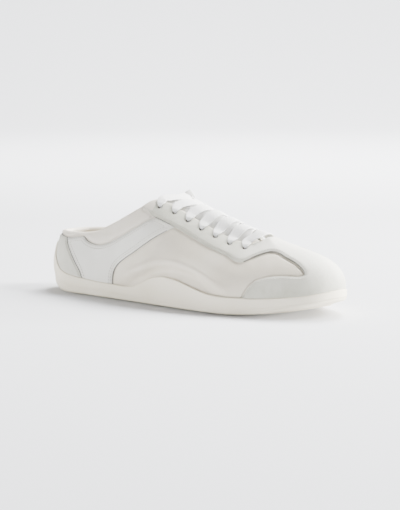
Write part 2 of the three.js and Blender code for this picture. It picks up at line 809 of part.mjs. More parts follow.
// The laces: flat bars that cross from eyelet to eyelet over the throat
function laceBar(from, to) {
  const lift = GAP + SUEDE + LACE_REST + LACE / 2;
  const station = ({ side, u, w }) => {
    const { point, out } = frameAt(side, u, w);
    return { point: along(point, out, lift), out };
  };
  const start = station(from);
  const end = station(to);
  const edgeOf = (near, far) => station({ side: near.side, u: mix(near.u, far.u, 0.3), w: 1 });
  const [a, b] = [edgeOf(from, to), edgeOf(to, from)];
  const middle = a.point.clone().lerp(b.point, 0.5);
  const crown = along(middle, UP, crownAt(middle.x));
  const route = new THREE.CatmullRomCurve3([start.point, a.point, crown, b.point, end.point]);
  const level = a.out.clone().add(b.out).normalize();
  const outs = new THREE.CatmullRomCurve3([start.out, a.out, level, b.out, end.out]);
  const steps = 4;
  const rings = Array.from({ length: steps + 1 }, (_, i) => {
    const centre = route.getPoint(i / steps);
    const run = route.getTangent(i / steps);
    const wide = run.clone().cross(outs.getPoint(i / steps)).normalize();
    const out = wide.clone().cross(run).normalize();
    const corner = (across, up) =>
      along(along(centre, wide, (across * LACE_WIDTH) / 2), out, (up * LACE) / 2);
    return [corner(1, -1), corner(1, 1), corner(-1, 1), corner(-1, -1)];
  });
  return solidOf(sweepOf(rings));
}

function laces() {
  const last = EYELETS - 1;
  const bars = [laceBar(eyelets[OUTER][last], eyelets[INNER][last])];
  for (let i = last; i > 0; i--) {
    bars.push(laceBar(eyelets[OUTER][i], eyelets[INNER][i - 1]));
    bars.push(laceBar(eyelets[INNER][i], eyelets[OUTER][i - 1]));
  }
  return bars.reduce((all, bar) => all.add(bar));
}

// Materials
const finish = (color, roughness) =>
  new THREE.MeshStandardMaterial({ color, roughness, metalness: 0 });
const rubber = finish(0xe9e5dc, 0.55);
const leather = finish(0xe8e5de, 0.5);
const suede = finish(0xe0dfd9, 0.9);
const textile = finish(0xe2e3e2, 0.7);
const lining = finish(0xe6dfd3, 0.85);
const cotton = finish(0xf2f1ee, 0.8);

// The shoe, stood on the floor with the middle of its footprint at the origin
const shoe = new THREE.Group();
function put(name, geometry, material) {
  const mesh = new THREE.Mesh(geometry, material);
  mesh.name = name;
  shoe.add(mesh);
}

const holes = eyeletHoles();
const pierced = (solid) => holes.reduce((left, hole) => left.subtract(hole), solid);
const suedeSheet = overlayForm(SUEDE);
const textileSheet = overlayForm(TEXTILE);

put("sole", soleGeometry(), rubber);
put("upper", geometryFrom(pierced(solidOf(upperGeometry()))), leather);
put("toe_eyestay", geometryFrom(pierced(suedeSheet.subtract(besideSuede(0)))), suede);
put("heel_counter", geometryFrom(heelCounter(suedeSheet)), suede);
const quarters = rearQuarters(textileSheet).decompose();
quarters.sort((a, b) => a.boundingBox().min[1] - b.boundingBox().min[1]);
put("quarter_outer", geometryFrom(quarters[0]), textile);
put("quarter_inner", geometryFrom(quarters.at(-1)), textile);
put("tongue", tongueGeometry(), lining);
put("insole", insoleGeometry(), lining);
put("laces", geometryFrom(laces()), cotton);

const box = new THREE.Box3().setFromObject(shoe);
const centre = box.getCenter(new THREE.Vector3());
shoe.position.set(-centre.x, -centre.y, -box.min.z);

export default shoe;
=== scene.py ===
import math

import bpy
import numpy as np
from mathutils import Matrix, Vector
from mathutils.kdtree import KDTree


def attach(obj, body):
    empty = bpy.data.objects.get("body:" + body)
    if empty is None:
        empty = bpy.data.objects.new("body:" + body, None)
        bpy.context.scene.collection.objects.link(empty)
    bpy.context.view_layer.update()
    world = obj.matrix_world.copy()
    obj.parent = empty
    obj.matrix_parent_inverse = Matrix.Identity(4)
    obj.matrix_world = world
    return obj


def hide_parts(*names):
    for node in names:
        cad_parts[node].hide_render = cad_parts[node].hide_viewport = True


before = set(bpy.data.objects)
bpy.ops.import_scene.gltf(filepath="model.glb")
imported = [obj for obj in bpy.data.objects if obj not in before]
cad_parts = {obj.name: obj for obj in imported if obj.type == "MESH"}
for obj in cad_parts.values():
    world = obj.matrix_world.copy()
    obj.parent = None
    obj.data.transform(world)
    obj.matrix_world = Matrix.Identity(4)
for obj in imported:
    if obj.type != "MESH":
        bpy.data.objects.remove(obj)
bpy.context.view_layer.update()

# Camera and studio
# A long lens from the outer side, a little in front of the shoe and just above the floor.
MM = 0.001
HEEL_X = -133.599
MIDDLE_Y = -0.9365
HALF_LENGTH = 135.0
AIM_RIGHT, AIM_UP = 0.0052, 0.0353
camera_data = bpy.data.cameras.new("camera")
camera_data.lens = 128.0
camera_data.sensor_width = 36.0
camera_data.clip_start = 0.05
camera_data.clip_end = 60.0
camera = bpy.data.objects.new("camera", camera_data)
bpy.context.scene.collection.objects.link(camera)
bpy.context.scene.camera = camera
azimuth, elevation, distance = math.radians(41.4), math.radians(8.3), 1.376
middle = Vector(((HALF_LENGTH + HEEL_X) * MM, MIDDLE_Y * MM, 0.0))
back = Vector((
    math.sin(azimuth) * math.cos(elevation),
    -math.cos(azimuth) * math.cos(elevation),
    math.sin(elevation),
))
camera.location = middle + back * distance
aim = middle + Vector((math.cos(azimuth), math.sin(azimuth), 0.0)) * AIM_RIGHT + Vector((0.0, 0.0, AIM_UP))
camera.rotation_mode = "QUATERNION"
camera.rotation_quaternion = (aim - camera.location).to_track_quat("-Z", "Y")


def colour(red, green, blue):
    """A colour read from 0 to 255, as Blender's linear values."""
    return tuple((c / 255 / 12.92 if c < 11 else ((c / 255 + 0.055) / 1.055) ** 2.4)
                 for c in (red, green, blue)) + (1.0,)


class Material:
    """A procedural material, with short calls that add a node and hand back its output."""

    def __init__(self, name, base, roughness, **settings):
        self.data = bpy.data.materials.new(name)
        self.data.use_nodes = True
        self.tree = self.data.node_tree
        self.shader = self.tree.nodes["Principled BSDF"]
        self.place = self.add("ShaderNodeTexCoord").outputs["Object"]
        for key, value in {"Base Color": base, "Roughness": roughness, **settings}.items():
            self.shader.inputs[key.replace("_", " ")].default_value = value

    def add(self, kind, settings=None, **joins):
        node = self.tree.nodes.new(kind)
        for key, value in (settings or {}).items():
            if key in node.inputs.keys():
                node.inputs[key].default_value = value
            else:
                setattr(node, key, value)
        for key, source in joins.items():
            self.tree.links.new(source, node.inputs[key])
        return node

    def join(self, **joins):
        for key, source in joins.items():
            self.tree.links.new(source, self.shader.inputs[key.replace("_", " ")])

    def noise(self, scale, detail=2.0, roughness=0.5, distortion=0.0):
        settings = {"Scale": scale, "Detail": detail, "Roughness": roughness, "Distortion": distortion}
        return self.add("ShaderNodeTexNoise", settings, Vector=self.place).outputs["Fac"]

    def ribs(self, scale, direction, distortion, detail, place):
        settings = {"Scale": scale, "Distortion": distortion, "Detail": detail, "bands_direction": direction}
        return self.add("ShaderNodeTexWave", settings, Vector=place).outputs["Fac"]

    def tones(self, pattern, low, dark, high, light):
        """From a dark tone to a light one, after a pattern."""
        ramp = self.add("ShaderNodeValToRGB", Fac=pattern)
        ends = ramp.color_ramp.elements
        ends[0].position, ends[0].color = low, dark
        ends[1].position, ends[1].color = high, light
        return ramp.outputs["Color"]

    def bump(self, strength, distance, height, over=None):
        joins = {"Height": height} if over is None else {"Height": height, "Normal": over}
        return self.add("ShaderNodeBump", {"Strength": strength, "Distance": distance}, **joins).outputs["Normal"]

    def spread(self, value, start, end, low=0.0, high=1.0):
        """A value that runs from start to end, as one that runs from low to high."""
        node = self.add("ShaderNodeMapRange", {"From Min": start, "From Max": end, "To Min": low, "To Max": high})
        self.tree.links.new(value, node.inputs["Value"])
        return node.outputs["Result"]

    def both(self, one, other, operation="MULTIPLY"):
        node = self.add("ShaderNodeMath", {"operation": operation})
        self.tree.links.new(one, node.inputs[0])
        self.tree.links.new(other, node.inputs[1])
        return node.outputs["Value"]


def mesh_object(name, points, faces, materials, slots=None, uvs=None):
    """A smooth mesh from points in the last's own millimetres, placed in the frame."""
    mesh = bpy.data.meshes.new(name)
    placed = (np.asarray(points, float) + [HEEL_X, MIDDLE_Y, 0.0]) * MM
    mesh.from_pydata(placed.tolist(), [], [list(map(int, f)) for f in faces])
    mesh.update()
    mesh.polygons.foreach_set("use_smooth", [True] * len(mesh.polygons))
    for material in materials:
        mesh.materials.append(material.data)
    if slots is not None:
        mesh.polygons.foreach_set("material_index", np.asarray(slots).astype(int).tolist())
    if uvs is not None:
        layer = mesh.uv_layers.new(name="UVMap")
        corners = np.empty(len(mesh.loops), int)
        mesh.loops.foreach_get("vertex_index", corners)
        layer.data.foreach_set("uv", np.asarray(uvs, float)[corners].ravel())
    made = bpy.data.objects.new(name, mesh)
    bpy.context.scene.collection.objects.link(made)
    return made


def tube_faces(base, rings, count, lids=2):
    """Quads along rings of count points, with a lid on the first ring or on both ends."""
    faces = []
    for s in range(rings - 1):
        for k in range(count):
            a, b = base + s * count + k, base + s * count + (k + 1) % count
            faces.append((a, b, b + count, a + count))
    ends = [tuple(range(base, base + count))[::-1], tuple(range(base + (rings - 1) * count, base + rings * count))]
    return faces + ends[:lids]


def turned(faces):
    """The same faces, seen from their other side."""
    return [(face[0], *face[:0:-1]) for face in faces]


# The floor runs up into a round wall far behind the shoe, all in one pale sweep.
AROUND, FLOOR_REACH, BEND = 96, 2.6, 2.2
rings = [(FLOOR_REACH * step / 11 + 0.001, 0.0) for step in range(12)]
for step in range(1, 15):
    bend = step / 14 * math.radians(62)
    rings.append((FLOOR_REACH + BEND * math.sin(bend), BEND * (1 - math.cos(bend))))
turns = [2 * math.pi * k / AROUND for k in range(AROUND)]
sweep_points = [(reach * math.cos(a), reach * math.sin(a), height) for reach, height in rings for a in turns]
floor_mesh = bpy.data.meshes.new("studio_floor")
floor_mesh.from_pydata(sweep_points, [], tube_faces(0, len(rings), AROUND, lids=1))
floor_mesh.polygons.foreach_set("use_smooth", [True] * len(floor_mesh.polygons))
floor = bpy.data.objects.new("studio_floor", floor_mesh)
bpy.context.scene.collection.objects.link(floor)
paper = Material("pale_paper", colour(222, 223, 226), 0.9, Specular_IOR_Level=0.15)
floor_mesh.materials.append(paper.data)

# name, place, what it points at, size, power
for name, place, target, size, power in (
    ("light_over", (-0.1, 0.98, 1.62), (0.0, 0.0, 0.0), 1.0, 128),
    ("light_key", (1.3, 1.05, 1.35), (0.05, 0.0, 0.0), 1.2, 140),
    ("light_toe", (1.75, 1.5, 0.3), (0.08, 0.0, 0.02), 0.5, 235),
    ("light_heel", (-1.65, -1.65, 0.45), (-0.02, 0.0, 0.04), 0.7, 54),
    ("light_wall", (-0.6, 1.3, 1.9), (-2.6, 3.2, 0.9), 1.4, 345),
):
    lamp_data = bpy.data.lights.new(name, "AREA")
    lamp_data.shape, lamp_data.size, lamp_data.energy = "DISK", size, power
    lamp = bpy.data.objects.new(name, lamp_data)
    bpy.context.scene.collection.objects.link(lamp)
    lamp.location = place
    lamp.rotation_mode = "QUATERNION"
    lamp.rotation_quaternion = (Vector(target) - Vector(place)).to_track_quat("-Z", "Y")
world = bpy.data.worlds.new("studio_air")
world.use_nodes = True
world.node_tree.nodes["Background"].inputs["Color"].default_value = (0.93, 0.96, 1.0, 1.0)
world.node_tree.nodes["Background"].inputs["Strength"].default_value = 0.17
bpy.context.scene.world = world


# Sole
# One cup of cream rubber, moulded in a single shot and cemented round the lasted upper. Its side
# rises in a wave at the waist and in a tab up the back of the heel.
LENGTH = 270.0
BALL_WIDTH = 88.0
HEEL_WIDTH = 66.0
TOE_SPRING, HEEL_LIFT, ARCH_RISE = 10.8, 2.7, 1.5
HEEL_FLOOR, BALL_FLOOR = 9.0, 6.0
SIDE_HEIGHT, WAVE_HEIGHT, TAB_HEIGHT = 13.0, 22.5, 39.0
SIDE_WALL, SOLE_EDGE, HEEL_EDGE, GAP = 2.6, 2.4, 6.5, 0.3
# share of the length, half widths to the outer and inner side as shares of the width there
OUTLINE = np.array([
    (0, 0, 0), (0.01, 0.205, 0.205), (0.03, 0.327, 0.327), (0.06, 0.413, 0.413),
    (0.1, 0.475, 0.466), (0.15, 0.507, 0.495), (0.2, 0.515, 0.491), (0.3, 0.525, 0.416),
    (0.4, 0.505, 0.34), (0.5, 0.486, 0.332), (0.6, 0.491, 0.411), (0.65, 0.497, 0.466),
    (0.7, 0.497, 0.506), (0.75, 0.476, 0.522), (0.8, 0.43, 0.512), (0.85, 0.38, 0.479),
    (0.9, 0.312, 0.42), (0.94, 0.24, 0.35), (0.965, 0.172, 0.285), (0.985, 0.092, 0.205),
    (0.995, 0.022, 0.13), (1, -0.055, 0.055),
])
# share of the length, share of SIDE_HEIGHT, share of the wave's rise, share of the tab's rise
SIDE = np.array([
    (0, 0.9, 0, 0.95), (0.01, 0.93, 0, 0.9), (0.03, 0.95, 0, 0.69), (0.05, 0.96, 0, 0.42),
    (0.08, 0.98, 0, 0.18), (0.13, 1.01, 0, 0.04), (0.19, 0.97, 0, 0), (0.25, 0.91, 0, 0),
    (0.36, 0.88, 0, 0), (0.4, 0.9, 0.1, 0), (0.43, 0.93, 0.36, 0), (0.475, 0.98, 0.82, 0),
    (0.525, 1, 1, 0), (0.57, 1, 0.88, 0), (0.62, 1, 0.54, 0), (0.66, 1, 0.26, 0),
    (0.71, 1, 0.05, 0), (0.76, 0.98, 0, 0), (0.86, 0.86, 0, 0), (0.91, 0.79, 0, 0),
    (0.96, 0.71, 0, 0), (1, 0.7, 0, 0),
])


def step_up(low, high, at):
    """A soft step from 0 at low to 1 at high."""
    share = np.clip((at - low) / (high - low), 0, 1)
    return share * share * (3 - 2 * share)


def read(rows, column, at):
    """A column of a table on a smooth curve through its rows that never overshoots them."""
    at = np.asarray(at, float)
    x, y = rows[:, 0], rows[:, column]
    i = np.clip(np.searchsorted(x, at) - 1, 0, len(x) - 2)
    slopes = np.diff(y) / np.diff(x)
    before, after = slopes[:-1], slopes[1:]
    product = before * after
    blend = np.where(product > 0, 2 * product / np.where(product > 0, before + after, 1), 0)
    tangent = np.concatenate([[slopes[0]], blend, [slopes[-1]]])
    span = x[i + 1] - x[i]
    s = np.clip((at - x[i]) / span, 0, 1)
    return ((2 * s**3 - 3 * s**2 + 1) * y[i] + (s**3 - 2 * s**2 + s) * span * tangent[i]
            + (3 * s**2 - 2 * s**3) * y[i + 1] + (s**3 - s**2) * span * tangent[i + 1])


def bottom_at(x):
    """The height of the tread: toe spring and heel lift."""
    at = x / LENGTH
    return TOE_SPRING * np.maximum(0, (at - 0.72) / 0.28) ** 2 + HEEL_LIFT * np.maximum(0, (0.08 - at) / 0.08)


def floor_at(x):
    """The height of the sole's inside, where the upper stands."""
    at = x / LENGTH
    toe = 1 - 0.17 * step_up(0.8, 1, at)
    share = step_up(0.3, 0.62, at)
    return bottom_at(x) + HEEL_FLOOR * (1 - share) + BALL_FLOOR * toe * share


def unit(ways):
    """The same ways, each with a length of 1."""
    return ways / np.linalg.norm(ways, axis=-1)[..., None]


def blur_round(values, sigma):
    """Softens values that run in a ring; sigma is a share of the ring."""
    count = len(values)
    spread = np.exp(-2 * (math.pi * np.fft.fftfreq(count, 1 / count) * sigma) ** 2)
    return np.real(np.fft.ifft(np.fft.fft(values, axis=0).T * spread, axis=-1)).T


def reach_along(points):
    """How far along a run each of its points is."""
    return np.concatenate([[0], np.cumsum(np.linalg.norm(np.diff(points, axis=0), axis=1))])


def closed_curve(points, each):
    """A smooth ring through points, with each steps between two of them."""
    p0, p1 = np.roll(points, 1, 0), points
    p2, p3 = np.roll(points, -1, 0), np.roll(points, -2, 0)
    d0, d1, d2 = (np.linalg.norm(b - a, axis=1)[:, None] ** 0.5 for a, b in ((p0, p1), (p1, p2), (p2, p3)))
    t1 = ((p1 - p0) / d0 - (p2 - p0) / (d0 + d1) + (p2 - p1) / d1) * d1
    t2 = ((p2 - p1) / d1 - (p3 - p1) / (d1 + d2) + (p3 - p2) / d2) * d1
    s = (np.arange(each) / each)[None, :, None]
    p1, p2, t1, t2 = (v[:, None, :] for v in (p1, p2, t1, t2))
    return ((2 * s**3 - 3 * s**2 + 1) * p1 + (s**3 - 2 * s**2 + s) * t1
            + (3 * s**2 - 2 * s**3) * p2 + (s**3 - s**2) * t2).reshape(-1, points.shape[1])


def open_curve(points, each):
    """The same for a run with two ends."""
    ends = np.vstack([2 * points[0] - points[1], points, 2 * points[-1] - points[-2]])
    return closed_curve(ends, each)[each:each * len(points) + 1]


width_at = HEEL_WIDTH + (BALL_WIDTH - HEEL_WIDTH) * step_up(0.2, 0.6, OUTLINE[:, 0])
outer_edge = np.column_stack([OUTLINE[:, 0] * LENGTH, -OUTLINE[:, 1] * width_at])
inner_edge = np.column_stack([OUTLINE[:, 0] * LENGTH, OUTLINE[:, 2] * width_at])[1:-1]
EACH = 60
loop = closed_curve(np.vstack([outer_edge, inner_edge[::-1]]), EACH)
loop = np.vstack([loop, loop[:1]])
lengths = reach_along(loop)
toe_length = lengths[EACH * (len(OUTLINE) - 1)]
# t runs from 0 at the heel round the outer side to 1 at the toe and back round the inner side to 2
FINE = 4096
fine_t = np.arange(FINE) * 2 / FINE
fine_length = np.where(fine_t < 1, fine_t * toe_length,
                       toe_length + (fine_t - 1) * (lengths[-1] - toe_length))
edge_ring = np.column_stack([np.interp(fine_length, lengths, loop[:, k]) for k in (0, 1)])
edge_ring = blur_round(edge_ring, 0.0035)
edge_run = unit(np.roll(edge_ring, -2, 0) - np.roll(edge_ring, 2, 0))
inward_ring = np.column_stack([-edge_run[:, 1], edge_run[:, 0]])


def on_ring(values, t):
    """Values kept round the ring, read at t."""
    at = np.mod(np.asarray(t, float), 2) * FINE / 2
    low = np.floor(at).astype(int) % FINE
    share = at - np.floor(at)
    if values.ndim > 1:
        share = share[..., None]
    return values[low] * (1 - share) + values[(low + 1) % FINE] * share


def t_of(side, x):
    """Where the outline of one side, -1 outer or 1 inner, is x from the heel."""
    half = FINE // 2
    if side < 0:
        return float(np.interp(x, edge_ring[:half + 1, 0], fine_t[:half + 1]))
    back_ring = edge_ring[half:][::-1]
    return float(np.interp(x, back_ring[:, 0], fine_t[half:][::-1]))


# The last: the form that all the pieces of the upper are pulled over. Its ribs run from the edge of
# the sole up to the opening. Share of the length where a rib starts; share of the length and of the
# half opening where it ends; its rise; slope at its foot and top; pull at both; share of the pad
HEEL_HEIGHT, INSTEP_HEIGHT, VAMP_HEIGHT = 45.5, 76.5, 54.0
COLLAR_WIDTH, THROAT_WIDTH = 50.0, 26.0
ROLL_OUT, RIDGE_BELOW, RIDGE_ABOVE = 2.4, 5.5, 9.0
COLLAR_RIBS = [
    (0, 0.016, 0, 0, 113, 66, 0.42, 0.34, 0.6), (0.03, 0.036, 0.58, 0, 113, 68, 0.42, 0.34, 0.65),
    (0.09, 0.088, 0.88, 0, 105, 74, 0.38, 0.34, 0.8), (0.155, 0.158, 0.96, 0.01, 98, 78, 0.34, 0.34, 0.95),
    (0.2, 0.205, 0.98, 0.06, 98, 78, 0.34, 0.34, 1), (0.24, 0.242, 1, 0.18, 98, 77, 0.34, 0.34, 1),
    (0.3, 0.3, 1.02, 0.4, 98, 75, 0.34, 0.34, 1), (0.355, 0.352, 1, 0.63, 98, 70, 0.35, 0.34, 1),
    (0.4, 0.391, 0.94, 0.82, 97, 62, 0.36, 0.34, 0.9), (0.43, 0.408, 0.81, 0.95, 97, 50, 0.38, 0.34, 0.5),
]
THROAT_RIBS = [
    (0.455, 0.421, 1.24, 1, 97, 38, 0.4, 0.34, 0.15), (0.485, 0.444, 1.07, 0.97, 97, 33, 0.42, 0.34, 0),
    (0.53, 0.489, 1, 0.78, 97, 31, 0.43, 0.35, 0), (0.58, 0.541, 1, 0.53, 97, 30, 0.43, 0.36, 0),
    (0.635, 0.596, 1, 0.27, 97, 29, 0.43, 0.37, 0), (0.69, 0.652, 0.98, 0.04, 98, 28, 0.44, 0.38, 0),
    (0.745, 0.707, 0.92, -0.15, 98, 28, 0.45, 0.38, 0), (0.8, 0.75, 0.74, -0.21, 99, 27, 0.46, 0.38, 0),
    (0.87, 0.77, 0.42, -0.09, 101, 26, 0.46, 0.38, 0), (0.94, 0.775, 0.18, 0, 103, 26, 0.46, 0.38, 0),
    (1, 0.776, 0, 0, 103, 26, 0.46, 0.38, 0),
]
RIDGE = np.array([
    (0.32, 0.85, 0), (0.358, 0.92, 0.35), (0.432, 1.22, 0.9), (0.498, 1.5, 1),
    (0.556, 1.56, 1), (0.627, 1.42, 0.9), (0.7, 1.08, 0.6), (0.76, 0.76, 0),
])

rib_rows = []
for side in (-1, 1):
    rows = []
    for at, x, half, up, *shape in COLLAR_RIBS:
        height = HEEL_HEIGHT + (INSTEP_HEIGHT - HEEL_HEIGHT) * up
        rows.append((at, x * LENGTH, side * half * COLLAR_WIDTH / 2, height, *shape))
    for at, x, half, up, *shape in THROAT_RIBS:
        height = VAMP_HEIGHT + (INSTEP_HEIGHT - VAMP_HEIGHT) * up
        rows.append((at, x * LENGTH, side * half * THROAT_WIDTH / 2, height, *shape))
    rows = [(t_of(side, at * LENGTH), *rest) for at, *rest in rows]
    if side < 0:
        rib_rows += [(0.0, *rows[0][1:])] + rows[1:-1] + [(1.0, *rows[-1][1:])]
    else:
        rib_rows += rows[1:-1][::-1]
ribs = np.array(rib_rows)
once_round = np.array([2.0] + [0.0] * 8)
ribs = np.vstack([ribs[-3:] - once_round, ribs, ribs[:3] + once_round])
rib_ring = np.column_stack([read(ribs, k, fine_t) for k in range(1, 9)])
rib_ring = blur_round(rib_ring, 0.0042)


def last_point(t, w):
    """The outside of the upper: the place a share w of the way up the rib at t."""
    t, w = np.broadcast_arrays(np.asarray(t, float), np.asarray(w, float))
    edge, inward, rib = on_ring(edge_ring, t), on_ring(inward_ring, t), on_ring(rib_ring, t)
    foot = np.empty(t.shape + (3,))
    foot[..., :2] = edge + inward * (SIDE_WALL + GAP)
    foot[..., 2] = floor_at(foot[..., 0]) + GAP
    top = rib[..., 0:3]
    reach = np.linalg.norm(top - foot, axis=-1)[..., None]
    level = unit(top[..., :2] - foot[..., :2])

    def slope(degrees):
        angle = np.radians(degrees)[..., None]
        return np.concatenate([level * np.cos(angle), np.sin(angle)], axis=-1)

    low = foot + slope(rib[..., 3]) * rib[..., 5:6] * reach
    high = top - slope(rib[..., 4]) * rib[..., 6:7] * reach
    s = w[..., None]
    point = (1 - s) ** 3 * foot + 3 * s * (1 - s) ** 2 * low + 3 * s**2 * (1 - s) * high + s**3 * top
    at = point[..., 0] / LENGTH
    off = point[..., 2] - read(RIDGE, 1, at) * WAVE_HEIGHT
    bump = np.exp(-((off / np.where(off < 0, RIDGE_BELOW, RIDGE_ABOVE)) ** 2))
    strength = np.where((at < RIDGE[0, 0]) | (at > RIDGE[-1, 0]), 0, read(RIDGE, 2, at))
    push = (ROLL_OUT * strength * bump)[..., None]
    point[..., :2] -= level * push
    return point


def last_frame(t, w):
    """That place, the direction straight out of it, and the one up the rib."""
    w = np.asarray(w, float)
    round_ = last_point(np.asarray(t) + 0.004, w) - last_point(np.asarray(t) - 0.004, w)
    low, high = np.maximum(0, w - 0.01), np.minimum(1, w + 0.01)
    up = unit(last_point(t, high) - last_point(t, low))
    return last_point(t, w), unit(np.cross(round_, up)), up


def share_at_height(t, height):
    """How far up its rib the last reaches a height."""
    low, high = np.zeros_like(t), np.ones_like(t)
    for _ in range(24):
        w = (low + high) / 2
        under = last_point(t, w)[..., 2] < height
        low, high = np.where(under, w, low), np.where(under, high, w)
    return (low + high) / 2


def side_top(t):
    """The height of the sole's side, with its wave and its tab."""
    x = on_ring(edge_ring, t)[..., 0]
    at = x / LENGTH
    return (bottom_at(x) + read(SIDE, 1, at) * SIDE_HEIGHT
            + read(SIDE, 2, at) * (WAVE_HEIGHT - SIDE_HEIGHT) + read(SIDE, 3, at) * (TAB_HEIGHT - SIDE_HEIGHT))


def ring_faces(rounds, count):
    """Quads between rings of count points each, outward where the rings run as t does."""
    return [(i * count + k, after * count + k, after * count + k + 1, i * count + k + 1)
            for i, after in zip(range(rounds), [*range(1, rounds), 0]) for k in range(count - 1)]


def across_faces(rounds, count, column):
    """Faces from the outer side to the inner one, between the points of one column."""
    faces = []
    for i in range(rounds // 2):
        corners = (i, i + 1, rounds - i - 1, (rounds - i) % rounds)
        face = list(dict.fromkeys(c * count + column for c in corners))
        if len(face) > 2:
            faces.append(face)
    return faces


def round_stops(rounds, crowding):
    """Places round the outline, crowded at the heel and the toe."""
    even = np.arange(rounds) / rounds * 2
    return even - crowding * np.sin(2 * math.pi * even) / (2 * math.pi)


SOLE_ROUNDS, SOLE_STOPS = 520, 22
TOE_EDGE = 1.6  # more rounding under the toe
UNDERCUT, WAIST_UNDERCUT = 0.9, 0.4  # how far the tread stands below the rounded edge
LIP_ROUND, LIP_SINK = 0.9, 0.6  # of the side's top edge, which ends in the upper
sole_t = round_stops(SOLE_ROUNDS, 0.35)
edge = on_ring(edge_ring, sole_t)
inward = on_ring(inward_ring, sole_t)
side_share = share_at_height(sole_t, side_top(sole_t))
at = edge[:, 0] / LENGTH
under_z = bottom_at(edge[:, 0])
arch = ARCH_RISE * step_up(0.28, 0.38, at) * (1 - step_up(0.42, 0.52, at))
rounding = SOLE_EDGE + (HEEL_EDGE - SOLE_EDGE) * (1 - step_up(0.02, 0.12, at)) + TOE_EDGE * step_up(0.82, 0.94, at)
undercut = UNDERCUT + WAIST_UNDERCUT * (step_up(0.16, 0.4, at) - step_up(0.68, 0.82, at))
rounding = np.maximum(rounding, undercut + 0.8)
wall_foot = floor_at(edge[:, 0]) - under_z - 0.4
columns = []
# the tread and its edge: inset from the outline, share of the undercut, share of the arch
for inset, share, arched in (
    (17.0, 0, 1), (13.0, 0, 0.5), (11.5, 0, 0.2), (11.1, 0.1, 0.1), (10.6, 0.8, 0), (10.0, 1, 0),
):
    row = np.column_stack([edge + inward * inset, under_z])
    row[:, 2] = bottom_at(row[:, 0]) + undercut * share + arch * arched
    columns.append(row)
# the rounded edge, and the side up to the upper's foot with a shallow line round it
levels = [(rounding * (1 - math.sin(turn)), undercut + (rounding - undercut) * (1 - math.cos(turn)))
          for turn in np.radians([0, 18, 36, 54, 72, 90])]
levels += [(np.full(SOLE_ROUNDS, dip - 0.02), rounding + share * (wall_foot - rounding)) for share, dip in (
    (0.05, 0), (0.2, 0.14), (0.35, 0.2), (0.5, 0.14), (0.65, 0), (0.8, 0), (1.0, 0))]
for inset, height in levels:
    columns.append(np.column_stack([edge + inward * inset[:, None], under_z + height]))
for w in np.linspace(0.02, 1, SOLE_STOPS):
    point, out, up = last_frame(sole_t, side_share * w)
    columns.append(point + out * (GAP + SIDE_WALL * (1 - 0.2 * w)))
thick = SIDE_WALL * 0.8
for turn in np.radians([20, 40, 60, 80, 100, 120, 140, 160, 180]):
    columns.append(point + out * (GAP + thick / 2 + thick / 2 * math.cos(turn)) + up * (LIP_ROUND * math.sin(turn)))
columns.append(point + out * (GAP - LIP_SINK) - up * 2.5)
sole_points = np.stack(columns, axis=1)
count = sole_points.shape[1]
sole_faces = ring_faces(SOLE_ROUNDS, count) + turned(across_faces(SOLE_ROUNDS, count, 0))

rubber = Material("cream_rubber", colour(232, 224, 202), 0.52, Specular_IOR_Level=0.38)
swell = rubber.noise(120.0)
fine_bump = rubber.bump(0.16, 0.00012, rubber.noise(2600.0))
rubber.join(
    Base_Color=rubber.tones(rubber.noise(28.0, 3.0), 0.35, colour(229, 220, 197), 0.68, colour(235, 227, 207)),
    Normal=rubber.bump(0.2, 0.0006, swell, fine_bump),
    Roughness=rubber.spread(swell, 0.0, 1.0, 0.46, 0.62),
)
sole = mesh_object("sole", sole_points.reshape(-1, 3), sole_faces, [rubber])
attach(sole, "root")
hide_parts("sole")


# Upper
# A shell of smooth, lightly grained leather, lined, pulled over the last, with a foam collar rolled
# over the top edge. Eyelet holes are punched through it, and it is turned in under the insole.
WALL, COLLAR_PAD = 1.8, 5.2
SUEDE, TEXTILE = 1.2, 0.8
EYELETS, FIRST_EYELET, EYELET_PITCH, EYELET_INSET, EYELET_HOLE = 7, 120.0, 13.4, 7.5, 3.2
COUNTER_SEAM = [(0.072, 1.2), (0.083, 1), (0.088, 0.9), (0.096, 0.76), (0.115, 0.58), (0.143, 0.35),
                (0.17, 0.13), (0.192, -0.3)]
COLLAR_SEAM = [(0.03, 0.9), (0.1, 0.91), (0.143, 0.96), (0.159, 0.97), (0.181, 0.86), (0.23, 0.74),
               (0.277, 0.71), (0.33, 0.74), (0.383, 0.76), (0.428, 0.77), (0.45, 0.81)]
EYESTAY_BACK = [(0.385, 1.1), (0.396, 0.96), (0.413, 0.88), (0.434, 0.825), (0.469, 0.805),
                (0.51, 0.795), (0.534, 0.79)]
QUARTER_SEAM = [(0.55, 0.93), (0.523, 0.81), (0.488, 0.65), (0.449, 0.52), (0.401, 0.44),
                (0.347, 0.37), (0.321, 0.28), (0.312, 0.18), (0.308, 0), (0.304, -0.3)]
VAMP_WINDOW = [(0.534, 0.79), (0.6, 0.78), (0.641, 0.77), (0.678, 0.775), (0.713, 0.75), (0.739, 0.7),
               (0.764, 0.67), (0.783, 0.71), (0.803, 0.82), (0.821, 0.89), (0.841, 0.91), (0.87, 0.88),
               (0.9, 0.84), (0.92, 0.78), (0.932, 0.71), (0.937, 0.63), (0.93, 0.57), (0.9, 0.53),
               (0.866, 0.49), (0.842, 0.43), (0.821, 0.35), (0.807, 0.24), (0.798, 0.11),
               (0.79, 0.01), (0.782, -0.4)]

ROUNDS, STOPS = 640, 72
grid_t = round_stops(ROUNDS, 0.3)[:, None]
grid_w = np.linspace(0, 1, STOPS)[None, :]
skin, skin_out, skin_up = last_frame(grid_t + 0 * grid_w, grid_w + 0 * grid_t)

